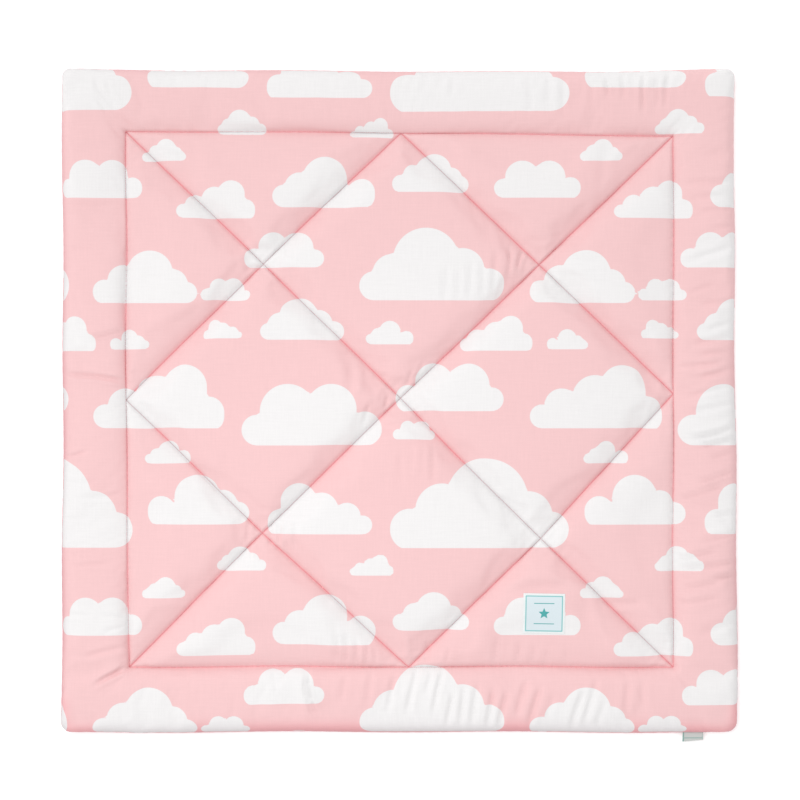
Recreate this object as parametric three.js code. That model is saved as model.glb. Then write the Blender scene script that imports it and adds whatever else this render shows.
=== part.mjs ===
// A quilted changing mat, lying flat on its back panel: two square cotton panels with wadding
// between them, sewn along a square frame line and a lattice of diagonals, with a woven label
// sewn on the front and a folded ribbon tag caught in the bottom seam.
// Millimetres, +Z up. +Y is the top edge of the mat as it is seen from above.
import * as THREE from "three";
import { mergeVertices } from "three/addons/utils/BufferGeometryUtils.js";

// The mat's outline, as a rectangle before its corners and sides are eased.
const MAT = { width: 994, length: 978 };

// Heights above the surface that the mat lies on.
const CROWN = 27;
const SEAM_TOP = 8;
const SEAM_UNDER = 3;
const RIM_TOP = 9.5;
const RIM_UNDER = 6.5;

// How far from a seam, or from the rim, the wadding takes to fill out.
const FILL_OUT = { seam: 20, rim: 13 };
const UNDER_REACH = { seam: 40, rim: 15 };

// How uneven the wadding is, and how far the sewn lines and the edge wander from straight. Both
// are slow sine waves, and a wave is 2 pi times as long as the figure here.
const LUMP = { height: 1.1, waveX: 58, waveY: 71, slant: 97 };
const WANDER = { reach: 0.9, waveX: 53, waveY: 47, fade: 155 };

// The sewn lattice. Diagonals cross at whole numbers of u and v, and the frame line is where
// |u| + |v| is FRAME_LINE. Each row is a crossing, with where it lies on the mat.
const FRAME_LINE = 2;
const CROSSINGS = [
  { u: 0, v: 0, x: 2, y: 4 },
  { u: 1, v: 0, x: 206, y: 201 },
  { u: 0, v: 1, x: 208, y: -201 },
  { u: -1, v: 0, x: -201, y: -193 },
  { u: 0, v: -1, x: -199, y: 202 },
  { u: 1, v: 1, x: 403, y: 11 },
  { u: -1, v: 1, x: 15, y: -390 },
  { u: -1, v: -1, x: -401, y: 2 },
  { u: 1, v: -1, x: 2, y: 395 },
  { u: 2, v: 0, x: 403, y: 390 },
  { u: 0, v: 2, x: 402, y: -390 },
  { u: -2, v: 0, x: -397, y: -390 },
  { u: 0, v: -2, x: -401, y: 397 },
];
const LATTICE_PITCH = 283;

// The rim, clockwise from the top right. Each side runs from its own corner to the next one's.
// A corner is the rectangle's, moved by its eases, with its own rounding, and a side is drawn in
// by its pulls at a quarter, a half and three quarters of its way.
const RIM = [
  { side: "right", toX: 1, toY: 1, easeX: -3, easeY: 1, round: 12, pulls: [0.6, 0.4, -0.8] },
  { side: "bottom", toX: 1, toY: -1, easeX: 1.5, easeY: 1, round: 15, pulls: [0.4, 1.0, 0.6] },
  { side: "left", toX: -1, toY: -1, easeX: -1, easeY: 1, round: 15, pulls: [1.2, 2.0, 1.4] },
  { side: "top", toX: -1, toY: 1, easeX: 0, easeY: 1, round: 10, pulls: [1.8, 2.6, 3.4] },
];

// Where the mesh has its rows: as shares of a lattice cell from one seam to half way, and as
// shares of the border from the frame line to the rim, on the top and on the underside.
const CELL_ROWS = [0, 5, 13, 26, 45, 70, 102, 141.5].map((d) => d / LATTICE_PITCH);
const BORDER_ROWS_TOP = [0.055, 0.14, 0.28, 0.46, 0.64, 0.79, 0.9, 0.965, 1];
const BORDER_ROWS_UNDER = [0.15, 0.45, 0.84, 0.93, 1];

// The woven label, sewn flat on the front.
const LABEL = { x: 212, y: -310, width: 61, length: 59, turn: -0.9, thick: 1, gap: 0.35, steps: 8 };

// The ribbon tag, folded in half, with both ends caught in the bottom seam.
const TAG = { left: 417, right: 447, leftLength: 14.3, rightLength: 11.6, layer: 1, between: 0.6 };
const TAG_DROOP = 3.6;
const TAG_STEPS = { across: 6, along: 6, fold: 6 };
const SEAT_GAP = 0.3;

const cellSteps = 2 * (CELL_ROWS.length - 1);
const frameSteps = FRAME_LINE * cellSteps;
const crossingAt = new Map(CROSSINGS.map((c) => [`${c.u},${c.v}`, c]));

// The lattice coordinate of a mesh row, with the rows crowded towards the seams.
function latticeAt(row) {
  const cell = Math.floor(row / cellSteps);
  const step = row - cell * cellSteps;
  const half = cellSteps / 2;
  return cell + (step <= half ? CELL_ROWS[step] : 1 - CELL_ROWS[cellSteps - step]);
}

// A crossing by its lattice coordinates. Past the frame line there is none, so one is made that
// completes the parallelogram of the three others.
function crossing(u, v, towardU, towardV) {
  const found = crossingAt.get(`${u},${v}`);
  if (found) return new THREE.Vector2(found.x, found.y);
  const besideU = crossingAt.get(`${towardU},${v}`);
  const besideV = crossingAt.get(`${u},${towardV}`);
  const across = crossingAt.get(`${towardU},${towardV}`);
  return new THREE.Vector2(besideU.x + besideV.x - across.x, besideU.y + besideV.y - across.y);
}

// The plan position of a lattice point inside the frame line, between its cell's four crossings.
function planAt(u, v) {
  const cellU = u > 0 ? Math.ceil(u) - 1 : Math.floor(u);
  const cellV = v > 0 ? Math.ceil(v) - 1 : Math.floor(v);
  const s = u - cellU;
  const t = v - cellV;
  return new THREE.Vector2()
    .addScaledVector(crossing(cellU, cellV, cellU + 1, cellV + 1), (1 - s) * (1 - t))
    .addScaledVector(crossing(cellU + 1, cellV, cellU, cellV + 1), s * (1 - t))
    .addScaledVector(crossing(cellU, cellV + 1, cellU + 1, cellV), (1 - s) * t)
    .addScaledVector(crossing(cellU + 1, cellV + 1, cellU, cellV), s * t);
}

// The slow waves of a hand-guided seam, and of wadding that lies a little unevenly.
function wander(point) {
  const dx = WANDER.reach * Math.sin(point.y / WANDER.waveY) * Math.cos(point.x / WANDER.fade);
  const dy = WANDER.reach * Math.cos(point.x / WANDER.waveX) * Math.cos(point.y / WANDER.fade);
  return point.add(new THREE.Vector2(dx, dy));
}

function lumps(x, y) {
  const patches = Math.cos(x / LUMP.waveX) * Math.sin(y / LUMP.waveY);
  return LUMP.height * (patches + Math.sin((x - y) / LUMP.slant));
}

// How full the mat is at a distance from a seam: nothing on it, then quickly, then slowly.
const fill = (distance, reach) => 1 - Math.exp(-Math.max(distance, 0) / reach);

// How much of a seam's lift the underside has at a distance from it: all on it, none past reach.
const lift = (distance, reach) => Math.max(1 - distance / reach, 0) ** 2;

// Distances from a lattice point to the seams around its cell.
function seamDistances(u, v) {
  const s = Math.abs(u - Math.round(u));
  const t = Math.abs(v - Math.round(v));
  const frame = (FRAME_LINE - Math.abs(u) - Math.abs(v)) / Math.SQRT2;
  return [s, t, frame].map((share) => share * LATTICE_PITCH);
}

function quiltTop(u, v, x, y) {
  const fullness = seamDistances(u, v)
    .map((d) => fill(d, FILL_OUT.seam))
    .reduce((product, f) => product * f, 1);
  return SEAM_TOP + (CROWN + lumps(x, y) - SEAM_TOP) * fullness;
}

function quiltUnder(u, v) {
  return SEAM_UNDER * Math.max(...seamDistances(u, v).map((d) => lift(d, UNDER_REACH.seam)));
}

const rimCorner = (c) =>
  new THREE.Vector2((c.toX * MAT.width) / 2 + c.easeX, (c.toY * MAT.length) / 2 + c.easeY);

// A point on the rim, a share of the way along a side: a smooth curve through the three pulls,
// whose ends turn half way round the corners' arcs.
function rimAt(side, share) {
  const from = RIM[side];
  const to = RIM[(side + 1) % RIM.length];
  const start = rimCorner(from);
  const end = rimCorner(to);
  const along = end.clone().sub(start);
  const reach = along.length();
  along.normalize();
  const inward = new THREE.Vector2(along.y, -along.x);
  const knots = [0, ...from.pulls, 0].map((pull, k) => new THREE.Vector2(k, pull));
  const pull = new THREE.SplineCurve(knots).getPoint(share).y;
  const point = start.clone().lerp(end, share).addScaledVector(inward, pull);
  const ends = [
    { radius: from.round, distance: share * reach, ahead: 1 },
    { radius: to.round, distance: (1 - share) * reach, ahead: -1 },
  ];
  for (const { radius, distance, ahead } of ends.filter((e) => e.distance < e.radius)) {
    const turned = (Math.PI / 4) * (1 - distance / radius);
    point.addScaledVector(along, ahead * (radius * (1 - Math.sin(turned)) - distance));
    point.addScaledVector(inward, radius * (1 - Math.cos(turned)));
  }
  return point;
}

// The frame line and the border outside it, walked clockwise from the top right corner.
function frameRow(side, step) {
  return [
    [frameSteps - step, step],
    [-step, frameSteps - step],
    [step - frameSteps, -step],
    [step, step - frameSteps],
  ][side];
}

// One face of the mat: the quilted square inside the frame line, then the border, as a list of
// triangles. heightInside and heightBorder give the face's height, and rows are its border rows.
function face(rows, heightInside, heightBorder) {
  const triangles = [];
  const made = new Map();
  const inside = (rowU, rowV) => {
    const key = `${rowU},${rowV}`;
    if (!made.has(key)) {
      const u = latticeAt(rowU);
      const v = latticeAt(rowV);
      const plan = wander(planAt(u, v));
      made.set(key, new THREE.Vector3(plan.x, plan.y, heightInside(u, v, plan.x, plan.y)));
    }
    return made.get(key);
  };
  const holds = (rowU, rowV) => Math.abs(rowU) + Math.abs(rowV) <= frameSteps;
  for (let rowU = -frameSteps; rowU < frameSteps; rowU += 1) {
    for (let rowV = -frameSteps; rowV < frameSteps; rowV += 1) {
      const square = [[0, 0], [1, 0], [1, 1], [0, 1]]
        .map(([du, dv]) => [rowU + du, rowV + dv])
        .filter(([a, b]) => holds(a, b))
        .map(([a, b]) => inside(a, b));
      for (let k = 2; k < square.length; k += 1) triangles.push(square[0], square[k], square[k - 1]);
    }
  }

  const loop = [];
  for (let side = 0; side < RIM.length; side += 1) {
    for (let step = 0; step < frameSteps; step += 1) {
      const share = 1 - latticeAt(frameSteps - step) / FRAME_LINE;
      const seam = inside(...frameRow(side, step));
      const edge = wander(rimAt(side, share));
      const toCorner = Math.min(share, 1 - share) * MAT.width;
      const column = rows.map((row) => {
        const x = THREE.MathUtils.lerp(seam.x, edge.x, row);
        const y = THREE.MathUtils.lerp(seam.y, edge.y, row);
        const band = Math.hypot(edge.x - seam.x, edge.y - seam.y);
        return new THREE.Vector3(x, y, heightBorder(row, band, toCorner, x, y));
      });
      loop.push([seam, ...column]);
    }
  }
  loop.forEach((here, k) => {
    const next = loop[(k + 1) % loop.length];
    for (let row = 1; row < here.length; row += 1) {
      triangles.push(here[row - 1], next[row - 1], here[row]);
      triangles.push(next[row - 1], next[row], here[row]);
    }
  });
  return { triangles, rim: loop.map((column) => column[column.length - 1]) };
}

function borderTop(row, band, toCorner, x, y) {
  const base = THREE.MathUtils.lerp(SEAM_TOP, RIM_TOP, row);
  const fromRim = (1 - row) * band;
  const fullness =
    fill(row * band, FILL_OUT.seam) *
    fill(fromRim, FILL_OUT.rim) *
    fill(fromRim + toCorner, FILL_OUT.rim);
  return row === 1 ? RIM_TOP : base + (CROWN + lumps(x, y) - base) * fullness;
}

function borderUnder(row, band) {
  const fromSeam = SEAM_UNDER * lift(row * band, UNDER_REACH.seam);
  const fromRim = RIM_UNDER * lift((1 - row) * band, UNDER_REACH.rim);
  return Math.max(fromSeam, fromRim);
}

// A closed geometry from corner points, three to a triangle.
function closedGeometry(points) {
  const flat = new THREE.BufferGeometry().setFromPoints(points);
  const geometry = mergeVertices(flat, 1e-3);
  geometry.computeVertexNormals();
  return geometry;
}

function named(name, geometry, material) {
  const mesh = new THREE.Mesh(geometry, new THREE.MeshStandardMaterial({ metalness: 0, ...material }));
  mesh.name = name;
  return mesh;
}

// The filled mat: its front, its back turned over, and the narrow wall of the edge seam.
function quiltedMat() {
  const front = face(BORDER_ROWS_TOP, quiltTop, borderTop);
  const back = face(BORDER_ROWS_UNDER, quiltUnder, borderUnder);
  const points = [...front.triangles];
  for (let k = 0; k < back.triangles.length; k += 3) {
    points.push(back.triangles[k], back.triangles[k + 2], back.triangles[k + 1]);
  }
  front.rim.forEach((high, k) => {
    const next = (k + 1) % front.rim.length;
    points.push(high, front.rim[next], back.rim[k]);
    points.push(front.rim[next], back.rim[next], back.rim[k]);
  });
  return closedGeometry(points);
}

// The first point that a straight line meets on a solid.
function meet(mesh, from, direction) {
  return new THREE.Raycaster(from, direction).intersectObject(mesh)[0].point;
}

// A solid from two like grids of points, one over the other, given as rows.
function slab(upper, lower) {
  const points = [];
  const rows = upper.length - 1;
  const columns = upper[0].length - 1;
  const quad = (a, b, c, d) => points.push(a, b, c, a, c, d);
  for (let i = 0; i < rows; i += 1) {
    for (let j = 0; j < columns; j += 1) {
      quad(upper[i][j], upper[i][j + 1], upper[i + 1][j + 1], upper[i + 1][j]);
      quad(lower[i][j], lower[i + 1][j], lower[i + 1][j + 1], lower[i][j + 1]);
    }
    quad(upper[i][0], upper[i + 1][0], lower[i + 1][0], lower[i][0]);
    quad(upper[i + 1][columns], upper[i][columns], lower[i][columns], lower[i + 1][columns]);
  }
  for (let j = 0; j < columns; j += 1) {
    quad(upper[0][j + 1], upper[0][j], lower[0][j], lower[0][j + 1]);
    quad(upper[rows][j], upper[rows][j + 1], lower[rows][j + 1], lower[rows][j]);
  }
  return closedGeometry(points);
}

// The label is a thin square that follows the quilting under it.
function sewnLabel(mat) {
  const turn = THREE.MathUtils.degToRad(LABEL.turn);
  const grid = (above) =>
    Array.from({ length: LABEL.steps + 1 }, (_, i) =>
      Array.from({ length: LABEL.steps + 1 }, (_, j) => {
        const x = (j / LABEL.steps - 0.5) * LABEL.width;
        const y = (i / LABEL.steps - 0.5) * LABEL.length;
        const plan = new THREE.Vector2(x, y).rotateAround(new THREE.Vector2(), turn);
        const from = new THREE.Vector3(LABEL.x + plan.x, LABEL.y + plan.y, 2 * CROWN);
        const point = meet(mat, from, new THREE.Vector3(0, 0, -1));
        point.z += above;
        return point;
      }),
    );
  return slab(grid(LABEL.gap + LABEL.thick), grid(LABEL.gap));
}

// The tag's closed section at its own length: out along the upper layer, round the fold and
// back along the lower one, then the same way inside. It runs from the seam, at zero.
function tagSection(length) {
  const outerRadius = TAG.layer + TAG.between / 2;
  const innerRadius = TAG.between / 2;
  const straight = length - outerRadius;
  const loop = (radius) => {
    const points = [];
    for (let k = 0; k < TAG_STEPS.along; k += 1) {
      points.push([(straight * k) / TAG_STEPS.along, radius]);
    }
    for (let k = 0; k <= TAG_STEPS.fold; k += 1) {
      const angle = Math.PI / 2 - (Math.PI * k) / TAG_STEPS.fold;
      points.push([straight + radius * Math.cos(angle), radius * Math.sin(angle)]);
    }
    for (let k = TAG_STEPS.along - 1; k >= 0; k -= 1) {
      points.push([(straight * k) / TAG_STEPS.along, -radius]);
    }
    return points;
  };
  return { outer: loop(outerRadius), inner: loop(innerRadius) };
}

// The tag stands out of the bottom seam and droops towards the floor, longer at its left.
function ribbonTag(mat) {
  const seamHeight = (RIM_TOP + RIM_UNDER) / 2;
  const grids = { outer: [], inner: [] };
  for (let i = 0; i <= TAG_STEPS.across; i += 1) {
    const share = i / TAG_STEPS.across;
    const x = THREE.MathUtils.lerp(TAG.left, TAG.right, share);
    const length = THREE.MathUtils.lerp(TAG.leftLength, TAG.rightLength, share);
    const from = new THREE.Vector3(x, -MAT.length, seamHeight);
    const root = meet(mat, from, new THREE.Vector3(0, 1, 0)).y - SEAT_GAP;
    const section = tagSection(length);
    const place = ([out, up]) =>
      new THREE.Vector3(x, root - out, seamHeight + up - TAG_DROOP * (out / TAG.leftLength) ** 2);
    grids.outer.push(section.outer.map(place));
    grids.inner.push(section.inner.map(place));
  }
  return slab(grids.outer, grids.inner);
}

const mat = named("quilted_mat", quiltedMat(), { color: "#f6c6c9", roughness: 0.9 });
const label = named("sewn_label", sewnLabel(mat), { color: "#e9f3f5", roughness: 0.55 });
const tag = named("ribbon_tag", ribbonTag(mat), { color: "#d9e3e0", roughness: 0.6 });

// The origin is the middle of the whole mat, tag and all, on the surface that it lies on.
const model = new THREE.Group();
model.add(mat, label, tag);
const middle = new THREE.Box3().setFromObject(model).getCenter(new THREE.Vector3());
model.position.set(-middle.x, -middle.y, 0);

export default model;
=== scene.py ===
# %% [markdown]
# This lesson gives a quilted changing mat its looks. The mat is a square cotton pad about a metre
# wide: a printed top and a plain back with wadding between them, sewn through along a square
# frame line and a lattice of diagonals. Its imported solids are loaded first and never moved, and
# every new piece is made in their place, in metres.

import math

import bpy
import bmesh
import numpy as np
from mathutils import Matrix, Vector
from mathutils.bvhtree import BVHTree


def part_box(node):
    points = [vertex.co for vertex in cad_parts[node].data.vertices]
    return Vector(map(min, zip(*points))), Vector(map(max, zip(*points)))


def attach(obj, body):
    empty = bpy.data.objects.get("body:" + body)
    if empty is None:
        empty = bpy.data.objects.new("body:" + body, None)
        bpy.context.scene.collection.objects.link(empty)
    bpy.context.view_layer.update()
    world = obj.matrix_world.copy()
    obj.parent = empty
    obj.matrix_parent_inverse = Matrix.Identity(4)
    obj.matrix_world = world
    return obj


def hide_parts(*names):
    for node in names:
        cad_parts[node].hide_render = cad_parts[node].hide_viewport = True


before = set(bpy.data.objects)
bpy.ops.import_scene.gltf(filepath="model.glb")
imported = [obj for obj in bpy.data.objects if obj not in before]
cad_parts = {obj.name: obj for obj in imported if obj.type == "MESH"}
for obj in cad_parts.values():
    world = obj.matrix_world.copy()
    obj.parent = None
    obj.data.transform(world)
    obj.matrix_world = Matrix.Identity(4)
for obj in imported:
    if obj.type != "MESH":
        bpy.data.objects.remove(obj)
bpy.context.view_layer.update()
MM = 0.001

# %% [markdown]
# The camera comes first, because everything else is judged through it. The mat lies on its back
# and the photo looks straight down on it, so the camera hangs over the middle and looks down. A
# long lens keeps the rim from leaning outwards.

# %% Camera straight above the mat
PHOTO_PIXELS = 800
MM_PER_PIXEL = 1.47
LENS_MM = 100
SENSOR_MM = 36
SEAM_HEIGHT_MM = 8
FARTHEST_SEEN = 100
# Where the middle of the photo's frame lies on the surface.
PHOTO_MIDDLE = Vector((1.0, 8.1)) * MM


def add_camera():
    """Hangs the camera so that the photo's frame spans its real width at the seams and the rim."""
    width = PHOTO_PIXELS * MM_PER_PIXEL * MM
    height = SEAM_HEIGHT_MM * MM + width * LENS_MM / SENSOR_MM
    bpy.ops.object.camera_add(location=(PHOTO_MIDDLE.x, PHOTO_MIDDLE.y, height), rotation=(0, 0, 0))
    camera = bpy.context.object
    camera.data.lens = LENS_MM
    camera.data.sensor_width = SENSOR_MM
    camera.data.clip_end = FARTHEST_SEEN
    bpy.context.scene.camera = camera
    return camera


camera = add_camera()
print("camera", round(camera.location.z, 3), "m above the surface")

# %% [markdown]
# The mat's plan repeats the named sizes of the part's source, in millimetres from the middle of
# the mat in the photo. Its heights are the cloth's own, a few millimetres fuller than the solid's.
# Lattice coordinates u and v are whole numbers on the diagonal seams, and the frame line is where
# the sizes of u and v add up to 2.

# %% Sizes of the mat
WIDTH, LENGTH = 994, 978
CROWN, RIM_HEIGHT = 27, 8
# How high the cloth stands beside the diagonals and beside each side of the frame line, and how
# gently these heights change: over how many millimetres, and over which share of the layout.
SHOULDERS = {"diagonal": 12.5, "top": 14, "bottom": 12.5, "left": 14.5, "right": 16.5}
SHOULDER_BLEND, SIDE_BLEND = 30, 0.15
# Over what distance the cloth fills out: inside the frame, in the border by the frame line, and
# by the rim.
SEAM_FILL, BORDER_FILL, RIM_FILL = 13, 12, 6
# How high the seams lie underneath, and how far from a seam and from the rim the back is lifted.
SEAM_UNDER, SEAM_LIFT, RIM_LIFT = 3, 40, 15
# The even spacing that the diagonals scatter about, and where they really cross.
PITCH = 283
CROSSINGS = {
    (0, 0): (2, 4), (1, 0): (206, 201), (0, 1): (208, -201), (-1, 0): (-201, -193),
    (0, -1): (-199, 202), (1, 1): (403, 11), (-1, 1): (15, -390), (-1, -1): (-401, 2),
    (1, -1): (2, 395), (2, 0): (403, 390), (0, 2): (402, -390), (-2, 0): (-397, -390),
    (0, -2): (-401, 397),
}
# Each side of the rim from its own corner, clockwise from the top right: where the corner is,
# how round it is, and how far the side is drawn in at a quarter, a half and three quarters.
RIM = [
    {"corner": (494, 490), "round": 12, "pulls": (0.6, 0.4, -0.8)},
    {"corner": (498.5, -488), "round": 15, "pulls": (0.4, 1.0, 0.6)},
    {"corner": (-498, -488), "round": 15, "pulls": (1.2, 2.0, 1.4)},
    {"corner": (-497, 490), "round": 10, "pulls": (1.8, 2.6, 3.4)},
]
# The slow waves of a hand-guided seam: how far, how long across and up, and how long they last.
WANDER, WANDER_X, WANDER_Y, WANDER_FADE = 0.9, 53, 47, 155
# The lumps of uneven wadding: how high, and how long across, up and on the slant.
LUMP, LUMP_X, LUMP_Y, LUMP_SLANT = 1.1, 58, 71, 97
# How strongly mesh rows crowd towards the seams, from 0 to 1.
CROWDING = 0.5


def crossing_table():
    """The crossings as a 5 by 5 table. Where one is missing past the frame line, the place that
    completes the parallelogram of its neighbours is put in."""
    table = np.full((5, 5, 2), np.nan)
    for (u, v), place in CROSSINGS.items():
        table[u + 2, v + 2] = place
    for u in (-2, -1, 1, 2):
        for v in (-2, -1, 1, 2):
            if abs(u) + abs(v) == 3:
                in_u, in_v = u - np.sign(u), v - np.sign(v)
                table[u + 2, v + 2] = (
                    table[in_u + 2, v + 2] + table[u + 2, in_v + 2] - table[in_u + 2, in_v + 2]
                )
    return table


CROSSING_AT = crossing_table()


def crowd(t):
    """Draws evenly spaced mesh rows towards the seams, which lie at whole numbers."""
    return t - CROWDING * np.sin(2 * math.pi * t) / (2 * math.pi)


def wander(x, y):
    """Adds the slow waves of a hand-guided seam."""
    dx = WANDER * np.sin(y / WANDER_Y) * np.cos(x / WANDER_FADE)
    dy = WANDER * np.cos(x / WANDER_X) * np.cos(y / WANDER_FADE)
    return x + dx, y + dy


def lattice_plan(u, v):
    """Where lattice coordinates lie on the mat, in millimetres."""
    cell_u = np.where(u > 0, np.ceil(u) - 1, np.floor(u)).clip(-2, 1).astype(int)
    cell_v = np.where(v > 0, np.ceil(v) - 1, np.floor(v)).clip(-2, 1).astype(int)
    s, t = (u - cell_u)[:, None], (v - cell_v)[:, None]
    near_near = CROSSING_AT[cell_u + 2, cell_v + 2]
    far_near = CROSSING_AT[cell_u + 3, cell_v + 2]
    near_far = CROSSING_AT[cell_u + 2, cell_v + 3]
    far_far = CROSSING_AT[cell_u + 3, cell_v + 3]
    corners = (
        (near_near, (1 - s) * (1 - t)), (far_near, s * (1 - t)), (near_far, (1 - s) * t), (far_far, s * t),
    )
    place = sum(np.where(share == 0, 0, corner * share) for corner, share in corners)
    return place[:, 0], place[:, 1]


print("crossings:", len(CROSSINGS), "on a pitch of", PITCH, "mm")

# %% [markdown]
# The layout is a flat drawing of the mesh, as a pattern cutter would draw it: the frame line is
# the square from -1 to 1, and the border lies outside it as square rings, from 1 at the seam to 2
# at the rim. A grid turned by 45 degrees fills the frame, so that the diagonal seams run along
# mesh edges and can be pinched without a jagged line. Modelling the layout flat first and bending
# it into shape by one function afterwards keeps both steps simple.

# %% Helpers for modelling
def start_fresh():
    """Leaves edit mode and deselects everything, so that an operator acts on the new piece alone."""
    if bpy.context.object and bpy.context.object.mode != "OBJECT":
        bpy.ops.object.mode_set(mode="OBJECT")
    bpy.ops.object.select_all(action="DESELECT")


def pick(piece):
    """Makes a piece the only one that an operator acts on."""
    start_fresh()
    piece.select_set(True)
    bpy.context.view_layer.objects.active = piece


def points_of(piece):
    """A piece's points, one row for each."""
    points = np.empty(len(piece.data.vertices) * 3)
    piece.data.vertices.foreach_get("co", points)
    return points.reshape(-1, 3)


def place_points(piece, points):
    """Moves a piece's points to new places."""
    piece.data.vertices.foreach_set("co", np.ascontiguousarray(points).ravel())
    piece.data.update()


def keep_attribute(piece, name, values):
    """Stores one number or one vector for each point, under a name that a material can read."""
    kind, field = ("FLOAT_VECTOR", "vector") if values.ndim == 2 else ("FLOAT", "value")
    attribute = piece.data.attributes.new(name, kind, "POINT")
    attribute.data.foreach_set(field, np.ascontiguousarray(values).ravel())


def read_attribute(piece, name):
    """Reads what a piece keeps at each point under a name."""
    attribute = piece.data.attributes[name]
    size = 3 if attribute.data_type == "FLOAT_VECTOR" else 1
    values = np.empty(len(attribute.data) * size)
    attribute.data.foreach_get("vector" if size == 3 else "value", values)
    return values.reshape(-1, 3) if size == 3 else values


def apply_all(piece):
    """Applies a piece's modifiers in their order."""
    pick(piece)
    for modifier in list(piece.modifiers):
        bpy.ops.object.modifier_apply(modifier=modifier.name)


# %% The flat layout of one face
# How close a layout place counts as lying on a line.
ON_LINE = 1e-4
# Mesh rows from one seam to the next.
TOP_STEPS, BACK_STEPS = 39, 13
# Mesh rows of the border, as shares of the way from the frame line to the rim.
TOP_BORDER = (0.02, 0.05, 0.1, 0.17, 0.25, 0.34, 0.43, 0.52, 0.61, 0.7, 0.78, 0.85, 0.91, 0.96, 1)
BACK_BORDER = (0.04, 0.2, 0.5, 0.8, 0.93, 1)


def select_outer_edges(piece, reach):
    """Selects the layout's outer ring of edges, which lies at that distance from the middle."""
    mesh = bmesh.from_edit_mesh(piece.data)
    for edge in mesh.edges:
        edge.select_set(all(max(abs(v.co.x), abs(v.co.y)) > reach - ON_LINE for v in edge.verts))
    bmesh.update_edit_mesh(piece.data)


def flat_layout(name, steps, border, cuts_at_seam=0, cuts_at_rim=0):
    """A turned grid cut to the frame, then ring after ring of border extruded from its edge."""
    start_fresh()
    bpy.ops.mesh.primitive_grid_add(x_subdivisions=4 * steps, y_subdivisions=4 * steps, size=4)
    piece = bpy.context.object
    piece.name = name
    bpy.ops.object.mode_set(mode="EDIT")
    bpy.ops.mesh.select_all(action="SELECT")
    bpy.ops.transform.rotate(value=math.radians(45), orient_axis="Z", center_override=(0, 0, 0))
    bpy.ops.transform.resize(value=(math.sqrt(0.5), math.sqrt(0.5), 1), center_override=(0, 0, 0))
    for side in ((1, 0, 0), (-1, 0, 0), (0, 1, 0), (0, -1, 0)):
        bpy.ops.mesh.select_all(action="SELECT")
        bpy.ops.mesh.bisect(plane_co=side, plane_no=side, clear_outer=True)
    bpy.ops.mesh.select_mode(type="EDGE")
    reach = 1
    for row in border:
        select_outer_edges(piece, reach)
        bpy.ops.mesh.extrude_edges_move()
        grow = (1 + row) / reach
        bpy.ops.transform.resize(value=(grow, grow, 1), center_override=(0, 0, 0))
        reach = 1 + row
        if row == border[0] and cuts_at_seam:
            bpy.ops.mesh.subdivide(number_cuts=cuts_at_seam)
    if cuts_at_rim:
        select_outer_edges(piece, reach)
        bpy.ops.mesh.subdivide(number_cuts=cuts_at_rim)
    bpy.ops.object.mode_set(mode="OBJECT")
    return piece


top = flat_layout("quilted_pad", TOP_STEPS, TOP_BORDER, cuts_at_seam=1)
back = flat_layout("pad_back", BACK_STEPS, BACK_BORDER, cuts_at_seam=1, cuts_at_rim=2)
print("layout:", len(top.data.vertices), "points on top and", len(back.data.vertices), "on the back")

# %% [markdown]
# Now the layout is bent into the mat's plan. Inside the frame the rows crowd towards the seams,
# where the cloth turns sharply, and in the border each point lies between the frame line and the
# rim, at its row's share of the way.

# %% From the layout to the mat's plan
def layout_uv(x, y):
    """Lattice coordinates of layout points, those of the border taken back to the frame line."""
    reach = np.maximum(np.maximum(abs(x), abs(y)), 1)
    return crowd((x + y) / reach), crowd((x - y) / reach), reach - 1


def spline(knots, share):
    """A smooth curve through evenly spaced knots, each span a cubic with the neighbours' slopes."""
    knots = np.array(knots, float)
    at = share * (len(knots) - 1)
    k = np.floor(at).clip(0, len(knots) - 2).astype(int)
    t = at - k
    before, after = knots[np.maximum(k - 1, 0)], knots[np.minimum(k + 2, len(knots) - 1)]
    start, end = knots[k], knots[k + 1]
    slope_in, slope_out = (end - before) / 2, (after - start) / 2
    return (
        (2 * t**3 - 3 * t**2 + 1) * start + (t**3 - 2 * t**2 + t) * slope_in
        + (3 * t**2 - 2 * t**3) * end + (t**3 - t**2) * slope_out
    )


def rim_side(side, share):
    """Points of the rim, a share of the way along one side, with the ends turned round its corners."""
    here, following = RIM[side], RIM[(side + 1) % 4]
    start, end = np.array(here["corner"], float), np.array(following["corner"], float)
    reach = np.linalg.norm(end - start)
    along = (end - start) / reach
    inward = np.array((along[1], -along[0]))
    pulled = spline((0, *here["pulls"], 0), share)
    forward = share * reach
    for radius, distance, ahead in (
        (here["round"], share * reach, 1), (following["round"], (1 - share) * reach, -1),
    ):
        turned = math.pi / 4 * (1 - distance / radius).clip(0, 1)
        near = distance < radius
        forward = forward + np.where(near, ahead * (radius * (1 - np.sin(turned)) - distance), 0)
        pulled = pulled + np.where(near, radius * (1 - np.cos(turned)), 0)
    return start + along * forward[:, None] + inward * pulled[:, None]


def rim_plan(x, y):
    """The rim point that each border point's straight way out ends at."""
    reach = np.maximum(abs(x), abs(y))
    x, y = x / reach, y / reach
    sides = [
        (x > 1 - ON_LINE, (1 - y) / 2), (y < ON_LINE - 1, (1 - x) / 2),
        (x < ON_LINE - 1, (1 + y) / 2), (y > 1 - ON_LINE, (1 + x) / 2),
    ]
    place = np.zeros((len(x), 2))
    for side, (there, share) in enumerate(sides):
        place[there] = rim_side(side, share[there].clip(0, 1))
    return place[:, 0], place[:, 1]


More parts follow.
